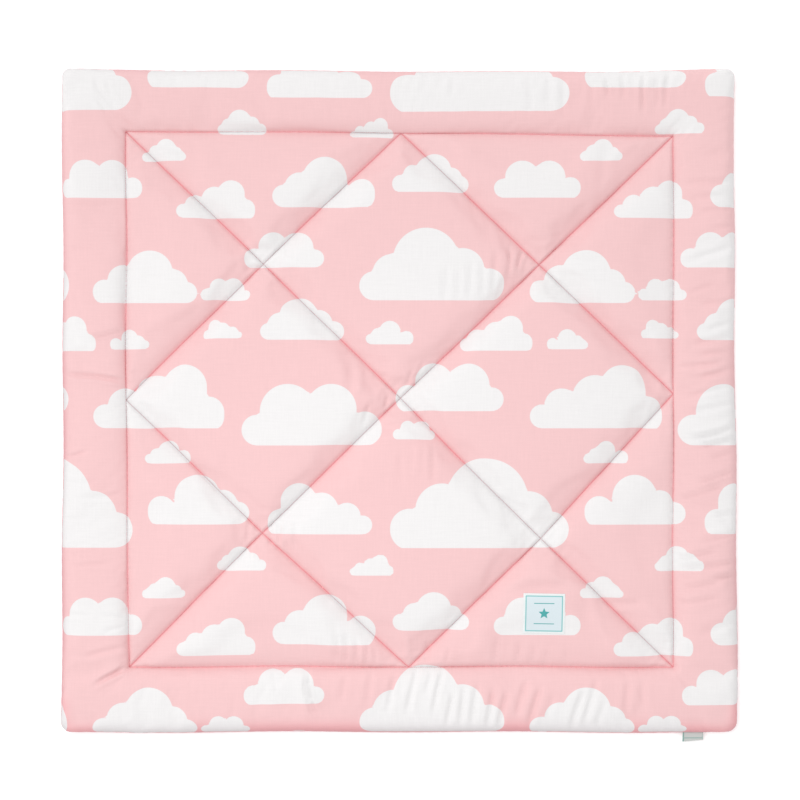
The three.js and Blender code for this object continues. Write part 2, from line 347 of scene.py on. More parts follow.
def mat_plan(x, y):
    """Layout points as places on the mat, in millimetres, with the width of the border there."""
    u, v, row = layout_uv(x, y)
    seam_x, seam_y = wander(*lattice_plan(u, v))
    plan_x, plan_y, band = seam_x.copy(), seam_y.copy(), np.zeros(len(x))
    outside = row > 0
    edge_x, edge_y = wander(*rim_plan(x[outside], y[outside]))
    out_x, out_y = edge_x - seam_x[outside], edge_y - seam_y[outside]
    band[outside] = np.hypot(out_x, out_y)
    plan_x[outside] += row[outside] * out_x
    plan_y[outside] += row[outside] * out_y
    return plan_x, plan_y, band


# %% [markdown]
# The wadding fills out quickly next to a seam and then levels off, so each height is a product of
# fills that rise with the distance from every seam near it. The back is flat but for shallow
# channels, because the mat's own weight presses it on the surface.

# %% Heights of the top and the back
def fill(distance, reach):
    """How far the cloth has filled out at a distance from a seam, from 0 to 1."""
    return 1 - np.exp(-np.maximum(distance, 0) / reach)


def lift(distance, reach):
    """How far the back is lifted at a distance from a seam, from 1 down to 0."""
    return (1 - distance / reach).clip(0, None) ** 2


def seam_distances(u, v):
    """Millimetres to the nearest diagonal each way and to the frame line."""
    to_u, to_v = abs(u - np.round(u)), abs(v - np.round(v))
    to_frame = (2 - abs(u) - abs(v)) / math.sqrt(2)
    return [share * PITCH for share in (to_u, to_v, to_frame)]


def lumps(x, y):
    """How far the uneven wadding raises the cloth, in millimetres."""
    return LUMP * (np.cos(x / LUMP_X) * np.sin(y / LUMP_Y) + np.sin((x - y) / LUMP_SLANT))


def past_frame(layout_x, layout_y, band):
    """How far border points lie from the frame line, measured round its corners."""
    past_x, past_y = (abs(layout_x) - 1).clip(0, None), (abs(layout_y) - 1).clip(0, None)
    return np.hypot(past_x, past_y) * band


def across_zero(place, low, high):
    """Goes smoothly from a low value to a high one where a layout place changes its sign."""
    return low + (high - low) * (0.5 + 0.5 * np.tanh(place / SIDE_BLEND))


def shoulder_height(layout_x, layout_y, to_frame):
    """The height the fills rise from, which changes smoothly from one seam to the next."""
    level = across_zero(layout_y, SHOULDERS["bottom"], SHOULDERS["top"])
    upright = across_zero(layout_x, SHOULDERS["left"], SHOULDERS["right"])
    beside_frame = across_zero(abs(layout_x) - abs(layout_y), level, upright)
    near = np.exp(-((to_frame / SHOULDER_BLEND) ** 2))
    return SHOULDERS["diagonal"] + (beside_frame - SHOULDERS["diagonal"]) * near


def top_height(layout_x, layout_y, x, y, band):
    """The top's height in millimetres, from its base beside the seams up to the crown."""
    u, v, row = layout_uv(layout_x, layout_y)
    inside = np.prod([fill(d, SEAM_FILL) for d in seam_distances(u, v)], axis=0)
    from_rim = (1 - row) * band
    corner = (1 - np.minimum(abs(layout_x), abs(layout_y)) / (1 + row)) * WIDTH / 2
    from_frame = past_frame(layout_x, layout_y, band)
    by_rim = fill(from_rim, RIM_FILL) * fill(from_rim + corner, RIM_FILL)
    border = fill(from_frame, BORDER_FILL) * by_rim
    shoulder = shoulder_height(layout_x, layout_y, seam_distances(u, v)[2])
    base = shoulder + (RIM_HEIGHT - shoulder) * row
    return base + (CROWN + lumps(x, y) - base) * np.where(row > 0, border, inside)


def back_height(layout_x, layout_y, band):
    """The back's height in millimetres, which is 0 where it lies on the surface."""
    u, v, row = layout_uv(layout_x, layout_y)
    inside = SEAM_UNDER * np.max([lift(d, SEAM_LIFT) for d in seam_distances(u, v)], axis=0)
    border = np.maximum(
        SEAM_UNDER * lift(row * band, SEAM_LIFT), RIM_HEIGHT * lift((1 - row) * band, RIM_LIFT)
    )
    return np.where(row > 0, border, inside)


def shape_face(piece, is_top):
    """The places of one face of the mat. The flat layout stays with the mesh as an attribute."""
    layout = points_of(piece)
    x, y, band = mat_plan(layout[:, 0], layout[:, 1])
    if is_top:
        z = top_height(layout[:, 0], layout[:, 1], x, y, band)
    else:
        z = back_height(layout[:, 0], layout[:, 1], band)
    layout[:, 2] = 1 if is_top else 0
    keep_attribute(piece, "layout", layout)
    return np.column_stack((x, y, z)) * MM


top_points = shape_face(top, True)
back_points = shape_face(back, False)
mat_low, mat_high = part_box("quilted_mat")
solid_middle = (np.array(mat_low) + np.array(mat_high))[:2] / 2
top_middle = (top_points.min(0) + top_points.max(0))[:2] / 2
# The shift from the plan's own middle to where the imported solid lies.
TO_FRAME = np.array((*(solid_middle - top_middle), 0))
place_points(top, top_points + TO_FRAME)
place_points(back, back_points + TO_FRAME)
print("top spans", np.round(np.ptp(top_points, axis=0) / MM, 1), "mm")
print("moved by", np.round(TO_FRAME / MM, 2), "mm")

# %% [markdown]
# The top is puffed by Blender's cloth simulation, as the wadding does it on the real mat. Every
# sewn line and the rim are pinned, the cloth is cut a little larger than its place, and a gentle
# pressure pushes it up. The spare cloth can't slide past the stitches, so it gathers in small
# puckers beside them. A cap on how far a point may move keeps the pad at its named sizes.

# %% Fill out the top
SPARE_CLOTH = 0.018
CLOTH = {
    "quality": 6, "mass": 0.2, "tension_stiffness": 25, "compression_stiffness": 25,
    "shear_stiffness": 12, "bending_stiffness": 0.1, "air_damping": 4,
    "shrink_min": -SPARE_CLOTH, "use_pressure": True, "uniform_pressure_force": 0.3,
}
FRAMES = 20
MOVE_CAP = 2.5 * MM
# How many millimetres from a seam a point counts as sewn.
SEWN_WITHIN = 0.1


def sewn_points(piece):
    """The points on the seams and on the rim."""
    layout = read_attribute(piece, "layout")
    u, v, row = layout_uv(layout[:, 0], layout[:, 1])
    on_seam = (np.min(seam_distances(u, v), axis=0) < SEWN_WITHIN) & (row < ON_LINE)
    return np.flatnonzero(on_seam | (row > 1 - ON_LINE))


def puff_up(piece):
    """Simulates the filled cloth between its pinned seams and applies the result."""
    before = points_of(piece)
    pins = piece.vertex_groups.new(name="sewn")
    pins.add([int(k) for k in sewn_points(piece)], 1, "REPLACE")
    cloth = piece.modifiers.new("Filling", "CLOTH")
    for setting, value in CLOTH.items():
        setattr(cloth.settings, setting, value)
    cloth.settings.vertex_group_mass = "sewn"
    cloth.settings.effector_weights.gravity = 0
    cloth.point_cache.frame_start, cloth.point_cache.frame_end = 1, FRAMES
    for step in range(1, FRAMES + 1):
        bpy.context.scene.frame_set(step)
    apply_all(piece)
    moved = points_of(piece) - before
    far = np.linalg.norm(moved, axis=1, keepdims=True)
    capped = moved * np.tanh(far / MOVE_CAP) * MOVE_CAP / np.maximum(far, 1e-9)
    place_points(piece, before + capped)
    bpy.context.scene.frame_set(1)
    return far


far = puff_up(top)
print("cloth pushed by", np.round((np.median(far) / MM, far.max() / MM), 1), "mm, middling and most")

# %% [markdown]
# Top and back have the same points along the rim and went through the same plan, so they meet
# point for point. Joining them and merging the doubles closes the pad, and one round of
# subdivision smooths the mesh.

# %% Join the top and the back
JOIN_WITHIN = 0.02 * MM


def join_faces(front, under):
    """Turns the back over, joins it to the front along the rim and smooths both once."""
    pick(under)
    bpy.ops.object.mode_set(mode="EDIT")
    bpy.ops.mesh.select_all(action="SELECT")
    bpy.ops.mesh.flip_normals()
    bpy.ops.object.mode_set(mode="OBJECT")
    front.select_set(True)
    bpy.context.view_layer.objects.active = front
    bpy.ops.object.join()
    bpy.ops.object.mode_set(mode="EDIT")
    bpy.ops.mesh.select_all(action="SELECT")
    bpy.ops.mesh.remove_doubles(threshold=JOIN_WITHIN)
    bpy.ops.object.mode_set(mode="OBJECT")
    smooth = front.modifiers.new("Smooth", "SUBSURF")
    smooth.levels = smooth.render_levels = 1
    apply_all(front)
    bpy.ops.object.shade_smooth()
    return front


pad = join_faces(top, back)
triangles = sum(len(face.vertices) - 2 for face in pad.data.polygons)
print("pad:", len(pad.data.vertices), "points,", triangles, "triangles")

# %% [markdown]
# The print is a loose all-over design of plain white clouds on a pink ground. Each cloud is a few
# round lobes on a flat base, drawn at several widths, and the chart below is one repeat of it.
# The distance to the nearest outline is worked out at every mesh point in the cloth's own cut
# coordinates and stored there, and the material only asks on which side of the outline it is.
# The edges stay crisp that way, and the print bends with the cloth as a real one does.

# %% Chart of the cloud print
# How long one repeat is each way, and where one starts.
PRINT_REPEAT = 640
PRINT_START = (-202, -254)
# Lobes as (across, up, radius), in cloud widths from the middle of the flat base. The first and
# the last lobe stand on the base.
CLOUD_LOBES = {
    "dome": (
        (-0.39, 0.11, 0.11), (-0.21, 0.21, 0.15), (0.04, 0.27, 0.23), (0.27, 0.18, 0.14), (0.40, 0.10, 0.10),
    ),
    "twin": ((-0.38, 0.12, 0.12), (-0.14, 0.26, 0.18), (0.17, 0.24, 0.20), (0.39, 0.11, 0.11)),
    "slope": (
        (-0.41, 0.09, 0.09), (-0.26, 0.17, 0.13), (-0.01, 0.23, 0.17), (0.20, 0.31, 0.17), (0.38, 0.12, 0.12),
    ),
    "puff": ((-0.36, 0.14, 0.14), (-0.01, 0.27, 0.22), (0.24, 0.20, 0.14), (0.39, 0.11, 0.11)),
}
# Across and up from the start of the repeat, width, lobes, and 1 or -1 where it faces the other way.
CLOUD_CHART = [
    (320, 40, 262, "dome", 1), (74, 190, 204, "twin", -1), (490, 215, 194, "slope", 1),
    (250, 402, 212, "dome", -1), (86, 60, 154, "slope", -1), (548, 74, 148, "puff", 1),
    (276, 240, 158, "twin", 1), (470, 398, 154, "dome", 1), (92, 538, 150, "puff", -1),
    (404, 552, 126, "twin", -1), (574, 522, 116, "slope", 1), (60, 344, 122, "dome", -1),
    (344, 328, 106, "slope", 1), (248, 560, 112, "dome", 1), (34, 450, 118, "twin", 1),
    (504, 164, 66, "puff", -1), (224, 198, 62, "twin", 1), (448, 330, 60, "puff", 1),
    (588, 402, 72, "twin", 1), (498, 606, 64, "dome", 1), (188, 338, 70, "puff", -1),
    (612, 6, 72, "dome", -1), (162, 0, 64, "slope", 1), (584, 346, 58, "slope", -1),
]


def cloud_distance(x, y, lobes):
    """Distance to one cloud's outline, below zero inside. Each lobe reaches down to the base."""
    foot = min(lobes[0][1], lobes[-1][1])
    inside = np.min([np.hypot(x - cx, y - y.clip(foot, cy)) - r for cx, cy, r in lobes], axis=0)
    core = np.maximum(np.maximum(lobes[0][0] - x, x - lobes[-1][0]), y - foot)
    return np.maximum(np.minimum(inside, core), -y)


def print_distance(x, y):
    """Distance in millimetres to the print's nearest outline, for places on the cut cloth. A cloud
    is looked for from a quarter of a repeat below its base to three quarters above it."""
    nearest = np.full(x.shape, float(PRINT_REPEAT))
    for across, up, width, lobes, facing in CLOUD_CHART:
        dx = (x - PRINT_START[0] - across + PRINT_REPEAT / 2) % PRINT_REPEAT - PRINT_REPEAT / 2
        dy = (y - PRINT_START[1] - up + PRINT_REPEAT / 4) % PRINT_REPEAT - PRINT_REPEAT / 4
        cloud = width * cloud_distance(dx / width * facing, dy / width, CLOUD_LOBES[lobes])
        nearest = np.minimum(nearest, cloud)
    return nearest


print("clouds in one repeat:", len(CLOUD_CHART))

# %% [markdown]
# A material can only read what the mesh carries. So every point of the pad keeps its place on the
# flat cloth, its distances to the print's outline and to the nearest seam, and how much painted
# shade it gets along the rim. More cloth lies on the steep side of the rim than shows from above,
# and the print has to run on over it as if it were flat, or it would look stretched from the side.

# %% Store the print and the seams on the pad
# The frame line counts as this much farther than it is, which keeps the painted shade in its pinch a little
# paler.
FRAME_LINE_EASE = 0.3
# How strong the painted shade along the rim is: its mean, its change across and up, and its width and
# falloff.
PAINTED_RIM_SHADE = {"mean": 0.7, "across": 0.25, "up": 0.4, "width": 5.5, "falloff": 1.3}
# Painted shade deepens the pink past this far below the middle, over this wide a band beside the rim.
PAINTED_BOTTOM_SHADE = {"below": 440, "blend": 12, "width": 17}
# How much cloth lies on the rim's steep side, how near the rim it starts, and a power that keeps
# each side's share of it away from the other sides.
RIM_DIVE = {"cloth": 11, "reach": 4.5, "power": 12}


def over_the_rim(layout, from_rim):
    """How much farther out a point lies on the flat cloth than in the plan."""
    reach = np.maximum(np.maximum(abs(layout[:, 0]), abs(layout[:, 1])), 1)
    away = RIM_DIVE["cloth"] * np.exp(-from_rim / RIM_DIVE["reach"])
    x, y = layout[:, 0] / reach, layout[:, 1] / reach
    power = RIM_DIVE["power"]
    return away * np.sign(x) * abs(x) ** power, away * np.sign(y) * abs(y) ** power


def painted_rim_shade_share(x, y, from_rim):
    """How much painted shade the rim gets, from 0 to 1. It is more at the left and below."""
    side = PAINTED_RIM_SHADE["mean"] - PAINTED_RIM_SHADE["across"] * x / (WIDTH / 2) - PAINTED_RIM_SHADE["up"] * y / (LENGTH / 2)
    return side.clip(0, 1) * np.exp(-((from_rim / PAINTED_RIM_SHADE["width"]) ** PAINTED_RIM_SHADE["falloff"]))


def painted_bottom_shade_share(y, from_rim):
    """How much painted shade deepens the pink by the bottom rim, from 0 to 1."""
    below = 0.5 - 0.5 * np.tanh((y + PAINTED_BOTTOM_SHADE["below"]) / PAINTED_BOTTOM_SHADE["blend"])
    return below * np.exp(-((from_rim / PAINTED_BOTTOM_SHADE["width"]) ** 2))


layout = read_attribute(pad, "layout")
cut_x, cut_y, band = mat_plan(layout[:, 0], layout[:, 1])
u, v, row = layout_uv(layout[:, 0], layout[:, 1])
on_top = layout[:, 2] > 0.5
to_u, to_v, to_frame = seam_distances(u, v)
from_diagonal = np.where(row > 0, PITCH, np.minimum(to_u, to_v))
from_frame_line = np.where(row > 0, row * band, to_frame)
seam_mm = np.minimum(from_diagonal, from_frame_line + FRAME_LINE_EASE)
rim_mm = np.where(row > 0, (1 - row) * band, PITCH)
dive_x, dive_y = over_the_rim(layout, rim_mm)
cloth_x, cloth_y = cut_x + dive_x, cut_y + dive_y
keep_attribute(pad, "cut", np.column_stack((cloth_x, cloth_y, 0 * cloth_x)) * MM)
keep_attribute(pad, "print_edge", print_distance(cloth_x, cloth_y))
keep_attribute(pad, "seam", seam_mm)
# Painted shade along the rim, kept under the name turned.
keep_attribute(pad, "turned", painted_rim_shade_share(cut_x, cut_y, rim_mm))
# Painted shade by the bottom rim.
keep_attribute(pad, "painted_bottom_shade", painted_bottom_shade_share(cut_y, rim_mm))
print("printed white:", round(float((read_attribute(pad, "print_edge") < 0)[on_top].mean()), 2), "of the top")

# %% [markdown]
# Thread pulled tight bites into the cloth. A narrow groove is pressed in along every seam, with
# small gathers across it whose spacing wanders, and then come the creases that the photo shows,
# listed one by one. Each crease is a straight or bowed trough with a soft ridge on both sides.

# %% Grooves and gathers along the seams
GROOVE_DEPTH, FRAME_GROOVE_DEPTH, GROOVE_WIDTH = 4, 2.3, 2
# The gathers: how deep, how far from the seam they start and reach, and how long one is.
GATHER_DEPTH, GATHER_START, GATHER_REACH, GATHER_PITCH = 0.75, 3, 11, 12.5
# How their spacing wanders, and how they come in groups: how much, and how long.
GATHER_DRIFT, GATHER_DRIFT_LENGTH = 1.9, 37
GATHER_MEAN, GATHER_SWING, GATHER_SWING_LENGTH = 0.55, 0.45, 53
FRAME_PHASE, BORDER_PHASE = 4, 5


def gathers(along, phase):
    """Small waves along a seam, in groups and of uneven length, from -1 to 1."""
    drift = GATHER_DRIFT * np.sin(along / GATHER_DRIFT_LENGTH + phase)
    wave = np.sin(2 * math.pi * along / GATHER_PITCH + drift + phase)
    strength = GATHER_MEAN + GATHER_SWING * np.sin(along / GATHER_SWING_LENGTH + 2.3 * phase)
    return wave * strength


def gather_fade(distance):
    """How strong the gathers are at a distance from their seam: none on it, most just beside it."""
    return np.exp(-distance / GATHER_REACH) * (1 - np.exp(-((distance / GATHER_START) ** 2)))


def seam_relief(u, v, row, band):
    """How far the cloth beside the seams lies over or under its smooth shape, in millimetres. Each
    seam and each side of it has a phase of its own, so that no two rows of gathers are alike."""
    to_u, to_v, to_frame = seam_distances(u, v)
    side_u, side_v = np.sign(u - np.round(u)), np.sign(v - np.round(v))
    inside = row <= 0
    relief = np.zeros(len(u))
    for distance, along, phase in (
        (to_u, v * PITCH, 1.3 * np.round(u) + 0.8 * side_u),
        (to_v, u * PITCH, 1.7 * np.round(v) + 0.9 * side_v + 2),
        (to_frame, (u - v) * PITCH / math.sqrt(2) * np.sign(u + v + 1e-9), FRAME_PHASE),
    ):
        wave = GATHER_DEPTH * gather_fade(distance) * gathers(along, phase)
        relief += np.where(inside, wave, 0)
    out = row * band
    ring = (u - v) * PITCH / math.sqrt(2)
    relief += np.where(inside, 0, GATHER_DEPTH * gather_fade(out) * gathers(ring, BORDER_PHASE))
    diagonal = GROOVE_DEPTH * np.exp(-((np.minimum(to_u, to_v) / GROOVE_WIDTH) ** 2))
    edge = FRAME_GROOVE_DEPTH * np.exp(-((np.where(inside, to_frame, out) / GROOVE_WIDTH) ** 2))
    return relief - np.maximum(np.where(inside, diagonal, 0), edge)


pressed = seam_relief(u, v, row, band)
print("seam relief from", round(float(pressed.min()), 1), "to", round(float(pressed.max()), 1), "mm")

# %% Creases read off the photo
# From and to in photo pixels, half width and depth in millimetres, and how far the middle bows to
# the right of the way along, in pixels. A negative depth makes a ridge.
PHOTO_MAT_MIDDLE = (399, 401.5)
CREASE_STRENGTH = 2.1
# A crease is level up to this share of its length from its middle, and then tapers over this
# share, this steeply.
CREASE_LEVEL, CREASE_TAPER, CREASE_ENDING = 0.3, 0.25, 1.8
# How high its ridges are for its depth, and how many half widths off its line.
RIDGE_HEIGHT, RIDGE_OFF = 0.42, 1.7
CREASES = [
    # Left border: puckers from the rim inward, one long bowed crease, and the mitre at the bottom.
    ((64, 206), (118, 205), 3.5, 0.5, 1), ((63, 250), (92, 249), 3, 0.4, 0),
    ((64, 353), (88, 350), 3, 0.6, 0), ((92, 339), (123, 331), 3.5, 1.1, 0),
    ((64, 375), (123, 381), 3.5, 1.7, -1.5), ((63, 458), (86, 452), 3, 1.0, 0),
    ((80, 497), (121, 494), 4, 0.7, 1), ((64, 483), (96, 482), 3, 0.4, 0),
    ((63, 517), (90, 519), 3, 0.4, 0), ((68, 428), (66, 452), 3, 0.9, 1),
    ((78, 565), (106, 563), 3, 0.7, 0), ((63, 545), (84, 546), 3, 0.4, 0),
    ((64, 612), (88, 615), 3, 0.6, 0), ((104, 614), (124, 617), 3, 0.6, 0),
    ((106, 630), (124, 626), 3, 0.7, 0), ((86, 655), (124, 646), 4.5, 0.9, 0),
    ((126, 668), (98, 682), 4, 2.0, 1),
    # Right border: long slanted puckers, closer together towards the bottom.
    ((686, 184), (730, 182), 5, 0.8, 1), ((696, 199), (735, 197), 5, 0.8, 0),
    ((700, 213), (733, 211), 4, 0.7, 0), ((712, 229), (735, 227), 4, 0.8, 0),
    ((694, 258), (734, 246), 5, 0.9, 1), ((680, 264), (722, 253), 4, 0.6, 0),
    ((690, 293), (714, 285), 4, 0.7, 0), ((702, 304), (735, 301), 4.5, 1.0, 1),
    ((708, 330), (735, 322), 4, 0.9, 0), ((694, 343), (735, 337), 5, 1.2, 1),
    ((700, 355), (735, 352), 4, 0.8, 0), ((680, 367), (722, 364), 4, 0.8, 0),
    ((700, 378), (735, 366), 4.5, 1.4, 1), ((690, 396), (722, 388), 4, 0.8, 0),
    ((694, 411), (735, 402), 4.5, 1.1, 1), ((692, 438), (735, 427), 4.5, 1.7, 2),
    ((702, 447), (735, 439), 4, 1.2, 0), ((710, 459), (735, 451), 4, 1.0, 0),
    ((698, 482), (735, 470), 4, 0.9, 1), ((680, 499), (722, 485), 4.5, 1.0, 1),
    ((712, 516), (735, 512), 4, 1.0, 0), ((700, 541), (735, 533), 5, 1.1, 1),
    ((679, 559), (712, 551), 4, 1.0, 0), ((680, 569), (735, 561), 4.5, 1.2, 1),
    ((711, 578), (736, 575), 4, 1.6, 0), ((680, 589), (724, 580), 4.5, 1.1, 0),
    ((678, 603), (715, 596), 4, 0.9, 1), ((700, 632), (734, 618), 7, 1.0, 1),
    # Top border: soft upright pleats right of the middle, and a slanted hollow at the left corner.
    ((96, 80), (117, 109), 5, 0.9, 2), ((108, 84), (119, 108), 4, 0.6, 1),
    ((99, 100), (109, 113), 3.5, 0.7, 0), ((203, 71), (201, 80), 3, 0.8, 0),
    ((452, 74), (452, 96), 4, 0.4, 0), ((528, 78), (530, 112), 5, 0.5, 0),
    ((548, 76), (547, 104), 4.5, 0.7, 0), ((564, 74), (562, 116), 4.5, 0.8, 1),
    ((590, 80), (591, 112), 4, 0.6, 0), ((604, 74), (608, 98), 3.5, 1.2, 0),
    ((621, 72), (623, 98), 4, 1.1, 0), ((643, 72), (642, 112), 3.5, 1.3, 1),
    ((655, 76), (657, 106), 4, 0.8, 0), ((668, 74), (664, 108), 4, 0.9, 1),
    # Bottom border: one deep upright crease at the left, then many slanted pleats.
    ((308, 672), (317, 714), 5, 1.8, 2), ((275, 672), (276, 694), 4, 0.6, 0),
    ((236, 690), (234, 716), 5, 0.4, 0), ((346, 674), (342, 700), 5, 0.7, 0),
    ((372, 672), (368, 704), 5, 0.8, 1), ((394, 676), (388, 712), 4.5, 0.9, 0),
    ((418, 670), (408, 712), 4.5, 1.1, 1), ((432, 672), (426, 692), 4, 0.8, 0),
    ((443, 672), (434, 712), 4, 1.3, 1), ((453, 694), (446, 728), 4, 1.4, 0),
    ((464, 688), (460, 726), 4, 1.2, 0), ((478, 684), (472, 726), 4.5, 1.3, 1),
    ((493, 690), (487, 728), 4, 1.8, 0), ((507, 692), (499, 728), 4, 1.6, 1),
    ((527, 680), (516, 716), 4.5, 1.4, 1), ((540, 688), (529, 724), 4.5, 1.8, 1),
    ((553, 694), (546, 716), 4, 0.8, 0), ((584, 690), (571, 729), 4.5, 1.8, 2),
    ((596, 680), (584, 722), 4.5, 1.3, 1), ((604, 700), (596, 724), 4, 0.8, 0),
    ((627, 682), (624, 712), 5, 1.0, 0), ((642, 680), (641, 706), 5, 0.6, 0),
    # Inside the frame: folds beside the crossings, above the bottom line and round the label.
    ((350, 366), (350, 394), 6, 0.9, 0), ((361, 368), (360, 392), 5, -0.7, 0),
    ((368, 404), (364, 424), 3, 1.0, 0), ((412, 370), (406, 386), 3, 0.8, 0),
    ((424, 362), (418, 376), 3, 0.6, 0), ((388, 396), (385, 408), 3, 0.9, 0),
    ((380, 430), (414, 425), 8, 1.0, 0), ((433, 448), (432, 482), 4, 1.3, 0),
    ((401, 452), (400, 482), 5, 0.6, 0), ((418, 446), (416, 476), 5, -0.6, 0),
    ((446, 268), (445, 300), 5, 0.9, 0), ((458, 270), (457, 302), 4, 0.6, 0),
    ((470, 262), (469, 298), 4, 0.9, 0), ((482, 262), (482, 296), 4, 0.8, 0),
    ((495, 252), (492, 290), 4, 1.0, 0), ((510, 248), (507, 276), 3.5, 1.3, 0),
    ((522, 250), (517, 268), 3, 1.5, 0), ((272, 518), (271, 546), 3.5, 0.7, 0),
    ((280, 516), (279, 550), 3.5, 0.7, 0), ((288, 522), (287, 552), 3.5, 0.6, 0),
    ((297, 520), (296, 546), 3.5, 0.6, 0), ((250, 520), (248, 538), 3, 0.6, 0),
    ((246, 270), (262, 267), 4, 0.9, 0), ((196, 222), (222, 226), 6, 0.6, 1),
    ((338, 634), (337, 660), 4, 0.8, 0), ((347, 630), (346, 662), 3.5, 0.9, 0),
    ((358, 640), (356, 663), 3.5, 1.0, 0), ((368, 644), (366, 663), 3, 1.0, 0),
    ((376, 648), (375, 663), 3, 0.7, 0), ((428, 642), (426, 662), 3.5, 0.7, 0),
    ((448, 646), (446, 662), 3, 0.8, 0), ((497, 636), (494, 662), 3.5, 1.0, 0),
    ((520, 640), (516, 662), 3.5, 1.1, 0), ((534, 644), (531, 663), 3.5, 0.9, 0),
    ((546, 648), (544, 663), 3, 0.9, 0), ((566, 648), (564, 663), 3, 0.7, 0),
    ((512, 590), (568, 587), 9, 1.4, -2), ((604, 604), (642, 602), 6, 0.8, 0),
    ((600, 262), (560, 262), 7, 0.4, 0),
]


def crease_relief(x, y):
    """Troughs with a softer ridge on both sides, for places in millimetres from the mat's middle."""
    relief = np.zeros(len(x))
    pixel_x = PHOTO_MAT_MIDDLE[0] + x / MM_PER_PIXEL
    pixel_y = PHOTO_MAT_MIDDLE[1] - y / MM_PER_PIXEL
    for start, end, half_width, depth, bow in CREASES:
        way_x, way_y = end[0] - start[0], end[1] - start[1]
        length = math.hypot(way_x, way_y)
        along = ((pixel_x - start[0]) * way_x + (pixel_y - start[1]) * way_y) / length**2
        across = ((pixel_y - start[1]) * way_x - (pixel_x - start[0]) * way_y) / length
        across = across - bow * 4 * along * (1 - along)
        off = across * MM_PER_PIXEL / half_width
        past_level = np.maximum(abs(along - 0.5) - CREASE_LEVEL, 0) / CREASE_TAPER
        trough = np.exp(-(off**2))
        sides = np.exp(-((off - RIDGE_OFF) ** 2)) + np.exp(-((off + RIDGE_OFF) ** 2))
        relief += depth * np.exp(-CREASE_ENDING * past_level**2) * (RIDGE_HEIGHT * sides - trough)
    return CREASE_STRENGTH * relief


print("creases:", len(CREASES))

# %% [markdown]
# The seam round the rim is drawn tight too, and puckers the border next to it. These waves are too
# many to place by hand, so they come from a sine whose spacing and strength wander slowly. All
# that is pressed into the top fades out at the rim itself, which keeps the pad's outline smooth.

# %% Puckers along the rim
PUCKERS = {"deep": 1.3, "pitch": 19, "start": 5, "reach": 17, "slant": 0.35}
# How their spacing wanders, as how much and how long, and how they come in groups.
PUCKER_DRIFTS = ((2.1, 41), (1.3, 17))
PUCKER_MEAN, PUCKER_SWING, PUCKER_GROUPS = 0.6, 0.4, (67, 29)
RIM_HOLD = 9


def rim_puckers(x, y, from_rim):
    """Short uneven waves that run in from the rim, where its seam draws the cloth together."""
    along = np.where(abs(x) > abs(y), y, x) + PUCKERS["slant"] * from_rim
    drift = sum(much * np.sin(along / length) for much, length in PUCKER_DRIFTS)
    wave = np.sin(2 * math.pi * along / PUCKERS["pitch"] + drift)
    groups = np.sin(along / PUCKER_GROUPS[0] + 1) * np.sin(along / PUCKER_GROUPS[1])
    fade = np.exp(-from_rim / PUCKERS["reach"]) * (1 - np.exp(-from_rim / PUCKERS["start"]))
    return PUCKERS["deep"] * (PUCKER_MEAN + PUCKER_SWING * groups) * fade * wave


folds = crease_relief(cut_x, cut_y) + np.where(row > 0, rim_puckers(cut_x, cut_y, rim_mm), 0)
pressed += (1 - np.exp(-rim_mm / RIM_HOLD)) * folds
final = points_of(pad)
final[on_top, 2] += pressed[on_top] * MM
place_points(pad, final)
print("the top lies between", np.round(final[on_top, 2].min() / MM, 1), "and",
      np.round(final[:, 2].max() / MM, 1), "mm up")

# %% [markdown]
# One small helper adds a node with its settings and links, and colours are given as sRGB hex
# values, as a maker would read them off a shade card.

# %% Helpers for materials
def shade(code):
    """An sRGB hex value as a linear colour with alpha."""
    parts = [int(code[k:k + 2], 16) / 255 for k in (1, 3, 5)]
    return (*[c / 12.92 if c <= 0.04045 else ((c + 0.055) / 1.055) ** 2.4 for c in parts], 1)


def add_node(tree, kind, inputs=None, **settings):
    """Adds a node. An input is a value, or another node's output to link from."""
    node = tree.nodes.new(kind)
    for name, value in settings.items():
        setattr(node, name, value)
    for name, value in (inputs or {}).items():
        if isinstance(value, bpy.types.NodeSocket):
            tree.links.new(value, node.inputs[name])
        else:
            node.inputs[name].default_value = value
    return node


def new_material(name):
    """An empty material and its node tree."""
    material = bpy.data.materials.new(name)
    material.use_nodes = True
    material.node_tree.nodes.clear()
    return material, material.node_tree


def finish_material(tree, shader):
    """Links a shader to the material's surface."""
    add_node(tree, "ShaderNodeOutputMaterial", {"Surface": shader.outputs["BSDF"]})


# %% [markdown]
# The cloth is plain-weave cotton, printed pink with the clouds left white. Cotton is matt, with a
# short soft fuzz that catches light at a glancing angle, so it gets a high roughness and a little
# sheen. Its threads are uneven, which shows as a faint crosshatch. Painted shade deepens its colour
# in the pinch of a seam, standing in for light that gets in only after touching pink cloth, and
# along the rim, most of all by the bottom rim.

# %% Cotton, printed and plain
# Each colour in the open, then with painted shade by the bottom rim, in the pinch of a seam, in its core and
# on the rim.
PINK_AND_PAINTED_SHADES = ("#EBC2C3", "#EAA9AD", "#EDAFB2", "#E69398", "#CB8E94")
WHITE_AND_PAINTED_SHADES = ("#E8E6E6", "#E4E0E1", "#DFDBDC", "#C9C3C4", "#C4BDBF")
# How far the painted shade in a seam's pinch and in its core reaches, in millimetres.
PAINTED_PINCH_WIDTH, PAINTED_CORE_WIDTH = 2.7, 1
# How far the ink bleeds over an outline.
PRINT_BLEED = 0.5
# Real threads lie about 0.35 mm apart. These are drawn coarser, so that they show in a close view.
THREAD_PITCH = 0.9
SLUB_WIDTH, SLUB_LENGTH = 2.2, 34
# The sum of both ways' slubs lies in this range, and changes the cloth's tone by as much.
SLUB_RANGE, SLUB_TONE = (0.6, 1.4), (0.965, 1.02)
THREAD_RELIEF = 0.1
